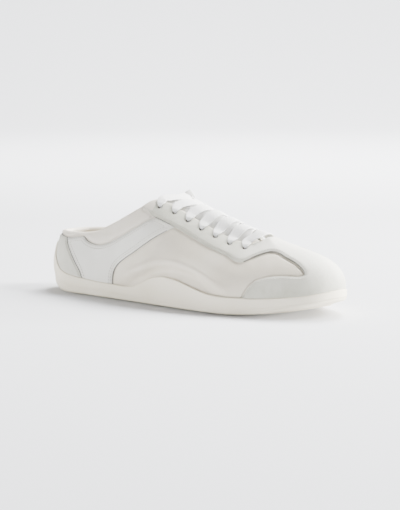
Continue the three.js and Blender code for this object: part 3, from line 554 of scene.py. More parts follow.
top_path = last_point(np.linspace(0, 1, 240), 1.0)
front_path = last_point(1.0, np.linspace(1, 0, 60)[1:])
top_line = np.vstack([top_path, front_path])[:, [0, 2]]
keep = np.concatenate([[True], np.maximum.accumulate(top_line[:, 0])[:-1] + 0.2 < top_line[1:, 0]])
top_line = top_line[keep]


def seam_line(table):
    """A seam of a table as points seen from the side, smooth through its rows."""
    rows = []
    for at, share in table:
        x = at * LENGTH
        low = float(side_top(np.array([t_of(-1, x)]))[0])
        high = float(np.interp(x, top_line[:, 0], top_line[:, 1]))
        rows.append((x, low + (high - low) * share))
    return open_curve(np.array(rows), 12)


def region(points, line):
    """Signed distance from a closed outline seen from the side, over 0 inside it."""
    flat = points.reshape(-1, 3)[:, [0, 2]]
    a, b = np.asarray(line, float), np.roll(np.asarray(line, float), -1, 0)
    best = np.full(len(flat), 1e9)
    inside = np.zeros(len(flat), bool)
    for (ax, az), (bx, bz) in zip(a, b):
        dx, dz = bx - ax, bz - az
        span = dx * dx + dz * dz
        if span < 1e-12:
            continue
        s = np.clip(((flat[:, 0] - ax) * dx + (flat[:, 1] - az) * dz) / span, 0, 1)
        best = np.minimum(best, (flat[:, 0] - ax - s * dx) ** 2 + (flat[:, 1] - az - s * dz) ** 2)
        crosses = (az > flat[:, 1]) != (bz > flat[:, 1])
        if abs(dz) > 1e-12:
            inside ^= crosses & (flat[:, 0] < ax + (flat[:, 1] - az) * dx / dz)
    return (np.where(inside, 1, -1) * np.sqrt(best)).reshape(points.shape[:-1])


FAR = 400.0
not_suede = [(-FAR, FAR), (EYESTAY_BACK[0][0] * LENGTH, FAR), *seam_line(EYESTAY_BACK)[:-1],
             *seam_line(VAMP_WINDOW), (VAMP_WINDOW[-1][0] * LENGTH, -FAR), (-FAR, -FAR)]
collar_line = seam_line(COLLAR_SEAM)
collar_region = [*collar_line, (collar_line[-1][0], FAR), (-FAR, FAR), (-FAR, collar_line[0][1])]
counter_line = seam_line(COUNTER_SEAM)
counter_region = [(-FAR, -FAR), (counter_line[-1][0], -FAR), *counter_line[::-1],
                  (COUNTER_SEAM[0][0] * LENGTH, FAR), (-FAR, FAR)]
quarter_region = [*counter_line, (counter_line[-1][0], -FAR), (QUARTER_SEAM[-1][0] * LENGTH, -FAR),
                  *seam_line(QUARTER_SEAM)[::-1], (QUARTER_SEAM[0][0] * LENGTH, FAR),
                  (COUNTER_SEAM[0][0] * LENGTH, FAR)]

field_suede = -region(skin, not_suede)
field_collar = region(skin, collar_region)
field_counter = np.minimum(region(skin, counter_region), -field_collar)
field_quarter = np.minimum(np.minimum(region(skin, quarter_region), -field_collar), -field_suede)


def eyelet_places(side):
    """The eyelets of one side as places on the last, at even steps along the shoe."""
    want = FIRST_EYELET + EYELET_PITCH * np.arange(EYELETS)
    rail = np.linspace(0.3, 0.85, 700)
    u = rail if side < 0 else 2 - rail
    ledge = last_point(u, 1.0)
    low, high = np.full(len(u), 0.5), np.ones(len(u))
    for _ in range(20):
        w = (low + high) / 2
        far = np.linalg.norm(last_point(u, w) - ledge, axis=1) > EYELET_INSET
        low, high = np.where(far, w, low), np.where(far, high, w)
    x = last_point(u, low)[:, 0]
    order = np.argsort(x)
    return [(float(np.interp(v, x[order], u[order])), float(np.interp(v, x[order], low[order]))) for v in want]


def hole_gap(points, reach):
    """The distance of points from the wall of the nearest eyelet hole, over 0 outside it."""
    gap = np.full(points.shape[:-1], 1e3)
    for centre, out, _ in holes:
        away = points - centre
        deep = away @ out
        from_wall = np.linalg.norm(away - deep[..., None] * out, axis=-1) - EYELET_HOLE / 2
        gap = np.where(np.abs(deep) < reach, np.minimum(gap, from_wall), gap)
    return gap


eyelets = {side: eyelet_places(side) for side in (-1, 1)}
holes = [last_frame(np.float64(t), np.float64(w)) for side in (-1, 1) for t, w in eyelets[side]]
field_holes = hole_gap(skin, 5)


def grid_triangles(rounds, stops):
    """Triangles of a grid that closes round the shoe."""
    i, k = np.meshgrid(np.arange(rounds), np.arange(stops - 1), indexing="ij")
    a = (i * stops + k).ravel()
    b = (((i + 1) % rounds) * stops + k).ravel()
    return np.concatenate([np.column_stack([a, b, b + 1]), np.column_stack([a, b + 1, a + 1])])


def split_at(values, fields, triangles, level, column=0):
    """Cuts the triangles along a level of a field, and gives each cut as a pair of points."""
    f = fields[:, column] - level
    f = np.where(np.abs(f) < 1e-7, 1e-7, f)
    marks = (f > 0)[triangles]
    mixed = marks.any(1) & ~marks.all(1)
    whole, cut = triangles[~mixed], triangles[mixed]
    marks = marks[mixed]
    lone = np.where(marks.sum(1) == 1, marks.argmax(1), (~marks).argmax(1))
    rows = np.arange(len(cut))
    p, q, r = cut[rows, lone], cut[rows, (lone + 1) % 3], cut[rows, (lone + 2) % 3]
    pairs = np.sort(np.concatenate([np.column_stack([p, q]), np.column_stack([p, r])]), axis=1)
    keys, back_to = np.unique(pairs, axis=0, return_inverse=True)
    back_to = back_to.ravel()
    low, high = keys.T
    share = (f[low] / (f[low] - f[high]))[:, None]
    start = len(values)
    values = np.vstack([values, values[low] * (1 - share) + values[high] * share])
    fields = np.vstack([fields, fields[low] * (1 - share) + fields[high] * share])
    fields[start:, column] = level
    pq, pr = start + back_to[:len(cut)], start + back_to[len(cut):]
    triangles = np.concatenate([
        whole, np.column_stack([p, pq, pr]), np.column_stack([pq, q, r]), np.column_stack([pq, r, pr]),
    ])
    return values, fields, triangles, np.column_stack([pq, pr])


def true_distance(points, segments, sign_of, reach):
    """The distance on the surface from the cut segments, signed; past the reach the sign alone."""
    a, b = points[segments[:, 0]], points[segments[:, 1]]
    tree = KDTree(len(a))
    for i, middle in enumerate((a + b) / 2):
        tree.insert(middle, i)
    tree.balance()
    far = np.sign(sign_of) * np.minimum(np.abs(sign_of), reach * 3)
    near = np.nonzero(np.abs(sign_of) < reach)[0]
    for i in near:
        p = points[i]
        best = 1e9
        for _, j, gap in tree.find_n(p, 3):
            run = b[j] - a[j]
            span = run @ run
            s = 0.0 if span < 1e-12 else min(1.0, max(0.0, (p - a[j]) @ run / span))
            best = min(best, float(np.linalg.norm(p - a[j] - s * run)))
        far[i] = math.copysign(best, sign_of[i])
    return far


def dome(distance, radius):
    """A rounded edge: 0 at the edge, 1 from the radius inwards."""
    share = np.clip(distance / radius, 0, 1)
    return np.sqrt(np.maximum(0, 1 - (1 - share) ** 2))


def compact(values, triangles):
    """Only the points that the triangles use, and the triangles on them."""
    used, faces = np.unique(triangles, return_inverse=True)
    return values[used], faces.reshape(-1, 3)


flat_skin, flat_out = skin.reshape(-1, 3), skin_out.reshape(-1, 3)
all_triangles = grid_triangles(ROUNDS, STOPS)
above_sole = skin[..., 2] - side_top(grid_t.ravel())[:, None]


def crease(points, start, end, width, depth):
    """A soft trough or ridge between two places on the side, deepest in its middle."""
    a, b = np.array(start), np.array(end)
    run = b - a
    s = np.clip(((points[..., [0, 2]] - a) @ run) / (run @ run), 0, 1)
    off = np.linalg.norm(points[..., [0, 2]] - (a + s[..., None] * run), axis=-1)
    return depth * np.exp(-((off / width) ** 2)) * np.sin(math.pi * np.clip(s, 0.02, 0.98))


# start and end as x and z on the side, width, height
CREASES = [
    ((186, 33), (205, 24), 3.0, -0.35), ((196, 38), (214, 33), 2.6, -0.4),
    ((150, 55), (176, 46), 4.0, -0.3), ((113, 52), (128, 40), 5.0, -0.25),
    ((98, 33), (118, 38), 4.0, 0.3), ((160, 20), (192, 15), 3.0, -0.25),
]
ROLL, ROLL_SPAN = 1.3, 3.6
TROUGH, TROUGH_SPAN, TROUGH_DROP = 1.4, 3.2, 7.6
COLLAR_PUFF, COLLAR_SEAM_DEPTH = 1.5, 0.45
GROOVE, GROOVE_SPAN = 0.55, 1.5
relief = np.zeros(skin.shape[:-1])
for start, end, width, depth in CREASES:
    relief += crease(skin, start, end, width, depth)

# The side rolls over a trough above the wave of the sole.
at = skin[..., 0] / LENGTH
below_roll = skin[..., 2] - read(RIDGE, 1, at) * WAVE_HEIGHT
roll_share = step_up(0.32, 0.42, at) * (1 - step_up(0.66, 0.78, at))
relief += roll_share * (ROLL * np.exp(-((below_roll / ROLL_SPAN) ** 2))
                        - TROUGH * np.exp(-(((below_roll + TROUGH_DROP) / TROUGH_SPAN) ** 2)))

# The collar swells from its seam; elsewhere the leather lies on the last.
swollen = 0.15 + COLLAR_PUFF * (1 - np.exp(-np.maximum(field_collar, 0) / 2.4))
puff = np.where(field_collar > 0, swollen, 0.0)
puff -= COLLAR_SEAM_DEPTH * np.exp(-((field_collar / 0.9) ** 2))
rib_reach = np.linalg.norm(np.diff(skin, axis=1), axis=2)
from_top = np.concatenate([np.cumsum(rib_reach[:, ::-1], axis=1)[:, ::-1], np.zeros((ROUNDS, 1))], axis=1)
puff *= 1 - 0.25 * np.exp(-from_top / 2.0)

pad = on_ring(rib_ring[:, 7], grid_t.ravel())


def wall_at(padded, w):
    """The upper's thickness: the wall, and over the top of the ribs the collar's pad."""
    return WALL + (COLLAR_PAD - WALL) * padded * step_up(0.66, 0.9, w)


half_top = (WALL + (COLLAR_PAD - WALL) * pad)[:, None] / 2
upper_columns = [flat_skin.reshape(ROUNDS, STOPS, 3) + skin_out * (relief + puff)[..., None]]
top_out, top_up = skin_out[:, -1], skin_up[:, -1]
lift = puff[:, -1:] / 2
middle = skin[:, -1] - top_out * (half_top - lift)
edge_rows = [middle + top_out * (half_top + lift) * math.cos(a) + top_up * (half_top + lift * 0.6) * math.sin(a)
             for a in np.radians(np.linspace(0, 180, 15)[1:-1])]
upper_columns.append(np.stack(edge_rows, axis=1))
lining_rows = []
for w in np.concatenate([np.linspace(1, 0.6, 18), np.linspace(0.56, 0.02, 16)]):
    point, out, _ = last_frame(grid_t.ravel(), np.full(ROUNDS, w))
    lining_rows.append(point - out * wall_at(pad, w)[:, None])
upper_columns.append(np.stack(lining_rows, axis=1))
upper_grid = np.concatenate(upper_columns, axis=1)
upper_stops = upper_grid.shape[1]


def over_grid(on_skin, on_lining):
    """A field for the whole shell, from its values on the outside and one for the rest."""
    whole = np.full((ROUNDS, upper_stops, *np.shape(on_skin)[2:]), float(on_lining))
    whole[:, :STOPS] = on_skin
    return whole


through = over_grid(field_holes, 10)
through[:, STOPS:] = np.minimum(through[:, STOPS:], hole_gap(upper_grid[:, STOPS:], 4))
lining_flag = over_grid(np.full((ROUNDS, STOPS), -1.0), 1)
lining_flag[:, STOPS:STOPS + 10] = -1


def edge_shows(x):
    """How far a panel's edge stands off the leather: skived almost flat along the eyestays."""
    return 1 - 0.8 * step_up(0.46, 0.53, x / LENGTH) * (1 - step_up(0.745, 0.79, x / LENGTH))


# Just outside the panels the needle and the awl press the leather into a narrow groove.
panel_gap = over_grid(np.maximum(np.maximum(field_suede, field_counter), field_quarter), 50)
fields = np.column_stack([
    panel_gap.ravel(), over_grid(field_collar, 5).ravel(), lining_flag.ravel(), through.ravel(),
    over_grid(skin_out, 0).reshape(-1, 3),
])
points, faces = upper_grid.reshape(-1, 3), grid_triangles(ROUNDS, upper_stops)
for level in (-GROOVE_SPAN, -0.9, -0.35):
    points, fields, faces, _ = split_at(points, fields, faces, level)
groove = np.clip((fields[:, 0] + GROOVE_SPAN) / 0.6, 0, 1) * (1 - step_up(1.0, 2.0, fields[:, 0]))
points = points - fields[:, 4:7] * (GROOVE * groove * edge_shows(points[:, 0]))[:, None]
points, fields, faces, _ = split_at(points, fields, faces, 0.0, column=3)
face_fields = fields[faces].mean(axis=1)
kept = face_fields[:, 3] > 0
faces, face_fields = faces[kept], face_fields[kept]
# 0 leather, 1 collar, 2 lining
skin_slots = np.where(face_fields[:, 2] > 0, 2, np.where(face_fields[:, 1] > 0, 1, 0))
points, faces = compact(points, faces)


def leather_material(name, light, dark, roughness, grain_scale, depth):
    """Smooth leather: pores between small flat cells, soft clouds of tone, a slight gloss."""
    made = Material(name, light, roughness, Specular_IOR_Level=0.35)
    cells = made.add("ShaderNodeTexVoronoi", {"Scale": grain_scale, "feature": "DISTANCE_TO_EDGE"}, Vector=made.place)
    pores = made.bump(0.35, depth, made.spread(cells.outputs["Distance"], 0.0, 0.22))
    wrinkle = made.noise(260.0, 5.0, distortion=0.6)
    made.join(
        Base_Color=made.tones(made.noise(34.0, 4.0, 0.6), 0.32, dark, 0.66, light),
        Normal=made.bump(0.3, 0.0005, wrinkle, pores),
        Roughness=made.spread(wrinkle, 0.0, 1.0, roughness - 0.08, roughness + 0.1),
    )
    return made


def cloth_material(name, light, dark, roughness, scale, depth, sheen=0.0):
    """A close weave: two fine sets of ribs across each other, with uneven yarn."""
    made = Material(name, light, roughness, Specular_IOR_Level=0.3, Sheen_Weight=sheen, Sheen_Roughness=0.4)
    warp = made.ribs(scale, "DIAGONAL", 0.6, 1.0, made.place)
    weft = made.ribs(scale * 1.1, "X", 0.6, 1.0, made.place)
    made.join(
        Base_Color=made.tones(made.noise(45.0, 4.0), 0.3, dark, 0.7, light),
        Normal=made.bump(0.4, depth, made.both(warp, weft)),
    )
    return made


leather = leather_material("smooth_leather", colour(226, 218, 201), colour(216, 207, 188), 0.5, 1500.0, 0.00018)
collar_skin = leather_material(
    "soft_collar_leather", colour(226, 219, 206), colour(218, 209, 194), 0.62, 1900.0, 0.00012)
lining = cloth_material("knit_lining", colour(224, 217, 203), colour(215, 207, 192), 0.85, 520.0, 0.0002, 0.3)
upper = mesh_object("upper", points, faces, [leather, collar_skin, lining], skin_slots)
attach(upper, "root")
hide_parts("upper")


# Overlays
# Panels cut from the same last and stitched on the leather: a suede T that is toe cap, vamp and
# eyestays in one piece, a suede heel counter, and satin quarters with a folded front edge.
TUCKED, SUNK, SKIVE = 2.5, 0.6, 2.6  # foot behind the sole's side, edge in the leather, thinned border


def panel(field, thickness, round_edge, with_holes=False, swell=0.0):
    """A panel on the leather: its points on the last and off it, the ways out, triangles and fields."""
    # distance from the panel's edge, the same seen from the side, from the sole, a hole and the top
    fields = np.column_stack([field.ravel(), field.ravel(), (above_sole + TUCKED).ravel(), field_holes.ravel(),
                              from_top.ravel(), flat_out, relief.ravel()])
    points, fields, triangles, cuts = split_at(flat_skin, fields, all_triangles, 0.0)
    fields[:, 0] = true_distance(points, cuts, fields[:, 1], 9.0)
    for column, level, trims in (
        (0, 0.0, False), (0, 0.25, False), (0, 0.6, False), (0, 1.2, True), (2, 0.0, True),
        *(((3, 0.0, True), (3, 0.35, False)) if with_holes else ()),
    ):
        points, fields, triangles, _ = split_at(points, fields, triangles, level, column)
        if trims:
            triangles = triangles[(fields[triangles, column] >= -1e-6).all(1)]
    nearest = np.minimum(fields[:, 0], fields[:, 4] + 0.05)
    rising = dome(nearest, round_edge)
    if with_holes:
        rising = rising * (0.45 + 0.55 * dome(fields[:, 3], 0.5))
    outs = unit(fields[:, 5:8])
    sink = -SUNK + SUNK * np.clip(nearest / 0.1, 0, 1)
    edge_left = 0.3 + 0.25 * edge_shows(points[:, 0])
    skived = edge_left + (1 - edge_left) * step_up(0.4, SKIVE, nearest)
    height = sink + GAP * rising + thickness * rising * skived + swell * dome(nearest, 14.0) + fields[:, 8]
    return points, points + outs * height[:, None], outs, triangles, fields


def finish_panel(name, made, face_material, edge_and_shade_material):
    """The panel's mesh, with its cut or folded edge in a darker material of its own that holds painted shade along
    the seam.
    """
    on_last, placed, _, triangles, fields = made
    # The outermost band of the edge, except where it is skived flat along the eyestays, gets the darker edge
    # material: painted shade of the seam line.
    edge_and_shade_faces = (fields[triangles, 0].mean(axis=1) < 0.22) & (edge_shows(on_last[triangles[:, 0], 0]) > 0.5)
    return mesh_object(name, *compact(placed, triangles), [face_material, edge_and_shade_material], edge_and_shade_faces)


def suede_material(name, light, dark, painted_top_light=None):
    """Short nap: patches that lie one way or another, fine fibres, and a soft edge to the light."""
    made = Material(name, light, 0.9, Specular_IOR_Level=0.12, Sheen_Weight=0.35, Sheen_Roughness=0.55)
    tint = made.tones(made.noise(70.0, 6.0, 0.62, 0.8), 0.3, dark, 0.72, light)
    if painted_top_light:
        # Painted highlight: the vamp's neck and the toe's top, which face the key light, are painted lighter.
        split = made.add("ShaderNodeSeparateXYZ", Vector=made.place)
        share = made.both(made.spread(split.outputs["X"], 0.058, 0.084), made.spread(split.outputs["Z"], 0.02, 0.04))
        nap = made.add("ShaderNodeMix", {"data_type": "RGBA"})
        made.tree.links.new(share, nap.inputs["Factor"])
        made.tree.links.new(tint, nap.inputs["A"])
        nap.inputs["B"].default_value = painted_top_light
        tint = nap.outputs["Result"]
    clumps = made.bump(0.5, 0.0004, made.noise(420.0, 4.0, distortion=0.5))
    made.join(Base_Color=tint, Normal=made.bump(0.6, 0.00022, made.noise(2400.0, 4.0, 0.7), clumps))
    return made


# The third colour of the eyestay suede is a painted highlight on the toe's top and the vamp's neck.
suede = suede_material("brushed_suede", colour(197, 196, 182), colour(176, 175, 159), colour(228, 226, 214))
# Painted light: a lighter copy of the eyestay suede, for the brighter light on the heel's side.
heel_suede_painted_lighter = suede_material("heel_suede_painted_lighter", colour(214, 212, 199), colour(200, 198, 184))
# Painted highlight: a lighter copy of the suede for the tongue's front end, in the tone painted on the lit vamp's
# neck.
vamp_suede_painted_light = suede_material("vamp_suede_painted_light", colour(226, 224, 212), colour(214, 212, 199))
# The suede's raw cut edge is greyer, and its colour is darkened further as painted shade: the shadow in the groove
# along the seam.
raw_edge_and_shade = suede_material("suede_raw_edge_and_shade", colour(138, 135, 126), colour(118, 115, 106))
# Painted shade: the satin's folded edge is the satin itself, darkened as the shadow along the quarters' front seam.
painted_fold_shade = cloth_material("satin_fold_painted_shade", colour(158, 156, 150), colour(140, 138, 131), 0.7, 900.0, 0.0001)
satin = cloth_material("satin_cloth", colour(231, 230, 222), colour(223, 221, 212), 0.55, 900.0, 0.0001, 0.15)

toe_made = panel(field_suede, SUEDE, 0.7, with_holes=True)
counter_made = panel(field_counter, SUEDE, 0.7)
quarter_made = panel(field_quarter, TEXTILE, 1.2, swell=0.25)
toe_panel = finish_panel("toe_and_eyestays", toe_made, suede, raw_edge_and_shade)
counter_panel = finish_panel("heel_counter", counter_made, heel_suede_painted_lighter, raw_edge_and_shade)
quarter_panel = finish_panel("quarters", quarter_made, satin, painted_fold_shade)
for piece, slot_name, nodes_ in (
    (toe_panel, "suede", ("toe_eyestay",)), (counter_panel, "suede", ("heel_counter",)),
    (quarter_panel, "textile", ("quarter_outer", "quarter_inner")),
):
    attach(piece, "root")
    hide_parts(*nodes_)

# Rims of the punched eyelets: the cut wall of suede and leather, down to the lining, closed at the bottom by a lid.
# Walls and lid are painted dark as the shade inside the holes.
RIM_ROUND = 24
rim = ((-2.4, 1.0), (0.6, 1.0), (SUEDE + GAP - 0.5, 1.0), (SUEDE + GAP - 0.12, 1.06), (SUEDE + GAP - 0.02, 1.18))
rim_points, rim_faces = [], []
for centre, out, up in holes:
    across = np.cross(out, up)
    rim_faces += tube_faces(len(rim_points), len(rim), RIM_ROUND, lids=1)
    for height, share in rim:
        for a in np.linspace(0, 2 * math.pi, RIM_ROUND, endpoint=False):
            ray = up * math.cos(a) + across * math.sin(a)
            rim_points.append(centre + out * height + ray * (EYELET_HOLE / 2 * share))
# Painted shade: the walls and the lid are near black for the shade inside the holes.
painted_hole_shade = suede_material("painted_hole_shade", colour(84, 80, 73), colour(58, 55, 50))
rims = mesh_object("eyelet_walls_and_shade_lid", rim_points, rim_faces, [painted_hole_shade])
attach(rims, "root")


# Tongue
# A soft padded strip, sewn in at the front of the throat, which lies free under both eyestays and
# bows up between them to carry the laces.
TONGUE, CROWN, TONGUE_REACH, TONGUE_END, TONGUE_SLACK = 3.0, 8.2, 0.84, 8.0, 1.0


def crown_at(x):
    """How far the tongue bows up between the eyestays."""
    top = 0.12 + 0.88 * step_up(FIRST_EYELET - TONGUE_END, FIRST_EYELET + 4 * EYELET_PITCH, x)
    front = 1 - 0.64 * step_up(0.69 * LENGTH, 0.745 * LENGTH, x)
    return CROWN * top * front


def soften(rows, rounds):
    """Evens out rows of points, all but the first and the last."""
    for _ in range(rounds):
        rows[1:-1] = (rows[:-2] + 2 * rows[1:-1] + rows[2:]) / 4
    return rows


tongue_rows = []
for at in np.linspace(0.455, 0.87, 60):
    flanks = []
    for side in (-1, 1):
        t = t_of(side, at * LENGTH)
        w = np.array([TONGUE_REACH, (TONGUE_REACH + 1) / 2, 1.0])
        point, out, _ = last_frame(np.full(3, t), w)
        pad_here = on_ring(rib_ring[:, 7], np.array([t]))[0]
        flanks.append(point - out * (GAP + TONGUE_SLACK + wall_at(pad_here, w))[:, None])
    left, right = flanks[0], flanks[1][::-1]
    bowed = []
    for share, bow in ((0.25, 0.62), (0.5, 1.0), (0.75, 0.62)):
        p = left[-1] * (1 - share) + right[0] * share
        bowed.append(p + [0, 0, crown_at(p[0]) * bow])
    tongue_rows.append(np.vstack([left, bowed, right]))
# the rounded top end, behind the eyestays
head = tongue_rows[0]
end_slope = head[4] - tongue_rows[4][4]
end_slope /= np.linalg.norm(end_slope)
tips = []
for share in np.linspace(1, 0.05, 12):
    narrow = head[4] + (head - head[4]) * (0.7 + 0.3 * (1 - share**2) ** 0.5)
    narrow[:, 0] = head[:, 0]
    tips.append(narrow + end_slope * TONGUE_END * share)
tongue_rows = soften(np.array(tips + tongue_rows), 6)
sheet = np.array([open_curve(row, 6) for row in tongue_rows])
soften(sheet.swapaxes(0, 1), 6)
normal = unit(np.cross(np.gradient(sheet, axis=0), np.gradient(sheet, axis=1)))
normal *= np.sign(normal[..., 2:3])
rows_n, cols_n = sheet.shape[:2]
edge_share = np.minimum(np.minimum(np.arange(cols_n), np.arange(cols_n)[::-1])[None, :] / 7.0,
                        np.arange(rows_n)[:, None] / 6.0)
body = dome(edge_share, 1.0)
upper_face = sheet + normal * (0.2 * body)[..., None]
lower_face = sheet - normal * (TONGUE * body + 0.05)[..., None]
tongue_points = np.vstack([upper_face.reshape(-1, 3), lower_face.reshape(-1, 3)])
tongue_faces = []
shift = rows_n * cols_n
for i in range(rows_n - 1):
    for k in range(cols_n - 1):
        a = i * cols_n + k
        quad = (a, a + 1, a + cols_n + 1, a + cols_n)
        tongue_faces += [quad[::-1], tuple(corner + shift for corner in quad)]
ids = np.arange(shift).reshape(rows_n, cols_n)
rim_ids = [*ids[0], *ids[1:, -1], *ids[-1, -2::-1], *ids[-2:0:-1, 0]]
tongue_faces += [(a, b, b + shift, a + shift) for a, b in zip(rim_ids, rim_ids[1:] + rim_ids[:1])]
# Painted shade: the tongue's cream cloth is painted darker and warmer than the lining, for the warm shade seen on it
# between the laces.
tongue_cloth_and_shade = cloth_material("tongue_cloth_and_shade", colour(210, 204, 189), colour(196, 190, 173), 0.8, 620.0, 0.0002, 0.2)
# Its front end, sewn into the suede of the vamp, is covered with suede in the lighter tone of the painted highlight
# on the vamp's neck.
in_vamp = tongue_points[np.array(tongue_faces), 0].mean(axis=1) > 0.735 * LENGTH
tongue = mesh_object("tongue", tongue_points, tongue_faces, [tongue_cloth_and_shade, vamp_suede_painted_light], in_vamp)
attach(tongue, "root")
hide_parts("tongue")


# Insole
# A moulded foam footbed with a cloth cover, laid in loose, its edge rounded over and its heel cupped.
bed_foot = last_point(grid_t.ravel(), np.zeros(ROUNDS))
bed_in = on_ring(inward_ring, grid_t.ravel())
bed_rows = []
# its edge and top, from outside in: inset from the last, height
for inset, height in (
    (2.6, 0.1), (2.2, 1.2), (2.3, 2.4), (2.8, 3.1), (3.8, 3.45), (6.0, 3.4), (10.0, 3.15), (15.0, 3.0),
):
    row = bed_foot.copy()
    row[:, :2] += bed_in * (inset + WALL * 0.2)
    row[:, 2] = floor_at(row[:, 0]) + 2 * GAP + WALL + height
    bed_rows.append(row)
bed_points = np.stack(bed_rows, axis=1).reshape(-1, 3)
bed_stops = len(bed_rows)
bed_faces = ring_faces(ROUNDS, bed_stops) + across_faces(ROUNDS, bed_stops, bed_stops - 1)
insole = mesh_object("insole", bed_points, bed_faces, [lining])
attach(insole, "root")
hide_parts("insole")


# Laces
# One flat woven cotton lace. From each eyelet it lies over its own eyestay, crosses the tongue towards
# the toe and goes under the other eyestay; one straight bar on top closes the toe end.
LACE_WIDTH, LACE_SPREAD, LACE = 8.2, 9.8, 1.0  # width at rest and pulled flat, thickness
LACE_REST = GAP + SUEDE + LACE / 2 + 0.1  # its middle over the last, on an eyestay
LACE_ROUND, BAR_STOPS, END_STOPS = 16, 56, 24
lace_points, lace_faces, lace_uvs = [], [], []


def spline(rows, count):
    """Even steps along a smooth run through rows, with all that the rows hold."""
    dense = open_curve(rows, 24)
    total = reach_along(dense)
    at = np.linspace(0, total[-1], count)
    return np.column_stack([np.interp(at, total, column) for column in dense.T])


def ribbon(rows, thicks, start_v=0.0):
    """A flat band along rows, which hold its middle, the way off its face and its width."""
    centres = rows[:, :3]
    run = unit(np.gradient(centres, axis=0))
    wide = unit(np.cross(run, rows[:, 3:6]))
    face = np.cross(wide, run)
    lace_faces.extend(turned(tube_faces(len(lace_points), len(rows), LACE_ROUND)))
    for c, across, off, width, thick, v in zip(centres, wide, face, rows[:, 6], thicks, reach_along(centres)):
        for a in np.linspace(0, 2 * math.pi, LACE_ROUND, endpoint=False):
            x, y = math.cos(a), math.sin(a)
            px = math.copysign(abs(x) ** 0.45, x) * width / 2
            py = math.copysign(abs(y) ** 0.75, y) * thick / 2
            lace_points.append(c + across * px + off * py)
            lace_uvs.append((px / LACE_WIDTH + 0.5, (v + start_v) / LACE_WIDTH))


def edge_place(t, w, lift):
    """A place off the last and the way out there."""
    point, out, _ = last_frame(np.float64(t), np.float64(w))
    return point + out * lift, out


def lace_run(side, start, other, rise, over_end=False):
    """From the eyelet start of one side to under the opposite eyestay, towards its eyelet other."""
    t0, w0 = eyelets[side][start]
    t1, w1 = eyelets[-side][other]
    route = []

    def put(place, width):
        route.append([*place[0], *place[1], width])

    # Out of the eyelet: share of the way to the throat, height, width, share of the way ahead.
    way_out = ((0.13, -2.4, 1.8, 0), (0.15, 0.4, 2.0, 0), (0.28, LACE_REST + 0.3, 4.9, 0),
               (0.6, LACE_REST + 0.2, 6.9, 0.02))
    # On the other side of the shoe, the place across from t is 2 - t.
    for share, lift, width, lean in way_out:
        put(edge_place(t0 * (1 - lean) + (2 - t1) * lean, w0 + (1 - w0) * share, lift), width)
    put(edge_place(t0 * 0.96 + (2 - t1) * 0.04, 1.0, LACE_REST + 0.15), LACE_WIDTH)
    near = edge_place(t0 * 0.92 + (2 - t1) * 0.08, 1.0, LACE_REST)
    far_t = t1 * 0.5 + (2 - t0) * 0.5
    far = edge_place(t1, 1.0, LACE_REST) if over_end else edge_place(far_t, 1.0, -0.2)
    for share, bow in ((0.25, 0.76), (0.5, 1.0), (0.75, 0.74)):
        point = near[0] * (1 - share) + far[0] * share
        arc = math.sin(math.pi * share)
        ahead = 1.0 + 4.5 * arc if over_end else 0.0
        out = near[1] * (1 - share) + far[1] * share
        up = crown_at(point[0]) * bow + rise * arc + 0.2
        put((point + np.array([ahead, 0, up]), out / np.linalg.norm(out)), LACE_SPREAD)
    if over_end:
        put(far, LACE_WIDTH)
        for share, lift, width, _ in way_out[::-1]:
            put(edge_place(t1, w1 + (1 - w1) * share, lift), width)
    else:
        put(edge_place(far_t, 0.985, -WALL - 0.9), LACE_WIDTH * 0.96)
        put(edge_place(t1 * 0.8 + (2 - t0) * 0.2, 0.93, -WALL - 1.0), LACE_WIDTH * 0.9)
    rows = spline(np.array(route), BAR_STOPS)
    rows[:, 6] = np.clip(rows[:, 6], 2.0, LACE_SPREAD)
    thicks = LACE * np.clip(1.6 - 0.6 * (rows[:, 6] - 2.4) / (LACE_WIDTH - 2.4), 0.9, 1.7)
    ribbon(rows, thicks, start_v=start * 3.7 + (side + 1))


last_eyelet = EYELETS - 1
for i in range(last_eyelet):
    lace_run(1, i, i + 1, -0.1)
    lace_run(-1, i, i + 1, 0.9)
lace_run(-1, last_eyelet, last_eyelet, 2.6, over_end=True)
# One end stands up a little out of the far top eyelet: out, up the rib, ahead, up, width.
point, out, up = last_frame(*np.array(eyelets[1][0]))
end_rows = [
    [*(point + out * off + up * along + np.array([ahead, 0.0, above])), 0.72, -0.66, 0.2, width]
    for off, along, ahead, above, width in (
        (-2.4, 0.3, 0, 0, 1.9), (0.6, 0.4, -0.4, 0, 2.2), (2.2, 0.8, -1.6, 0.8, 3.4),
        (2.6, 1.4, -3.6, 2.6, 4.6), (2.4, 2.2, -5.4, 4.8, 5.0), (2.0, 3.0, -6.6, 7.0, 4.6))
]
ribbon(spline(np.array(end_rows), END_STOPS), np.full(END_STOPS, 1.1))
cotton = Material("woven_cotton", colour(244, 243, 239), 0.85, Specular_IOR_Level=0.2, Sheen_Weight=0.2)
sheet_uv = cotton.add("ShaderNodeTexCoord").outputs["UV"]
flip = cotton.add("ShaderNodeMapping", {"Scale": (-1.0, 1.0, 1.0)}, Vector=sheet_uv)
warp = cotton.ribs(3.4, "DIAGONAL", 0.3, 2.0, sheet_uv)
weft = cotton.ribs(3.4, "DIAGONAL", 0.3, 2.0, flip.outputs["Vector"])
plait = cotton.both(warp, weft, "MAXIMUM")
cotton.join(
    Base_Color=cotton.tones(plait, 0.0, colour(232, 231, 227), 1.0, colour(246, 245, 242)),
    Normal=cotton.bump(0.25, 0.0001, cotton.noise(1800.0, 3.0), cotton.bump(0.6, 0.0003, plait)),
)
laces = mesh_object("laces", lace_points, lace_faces, [cotton], uvs=lace_uvs)
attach(laces, "root")
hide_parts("laces")


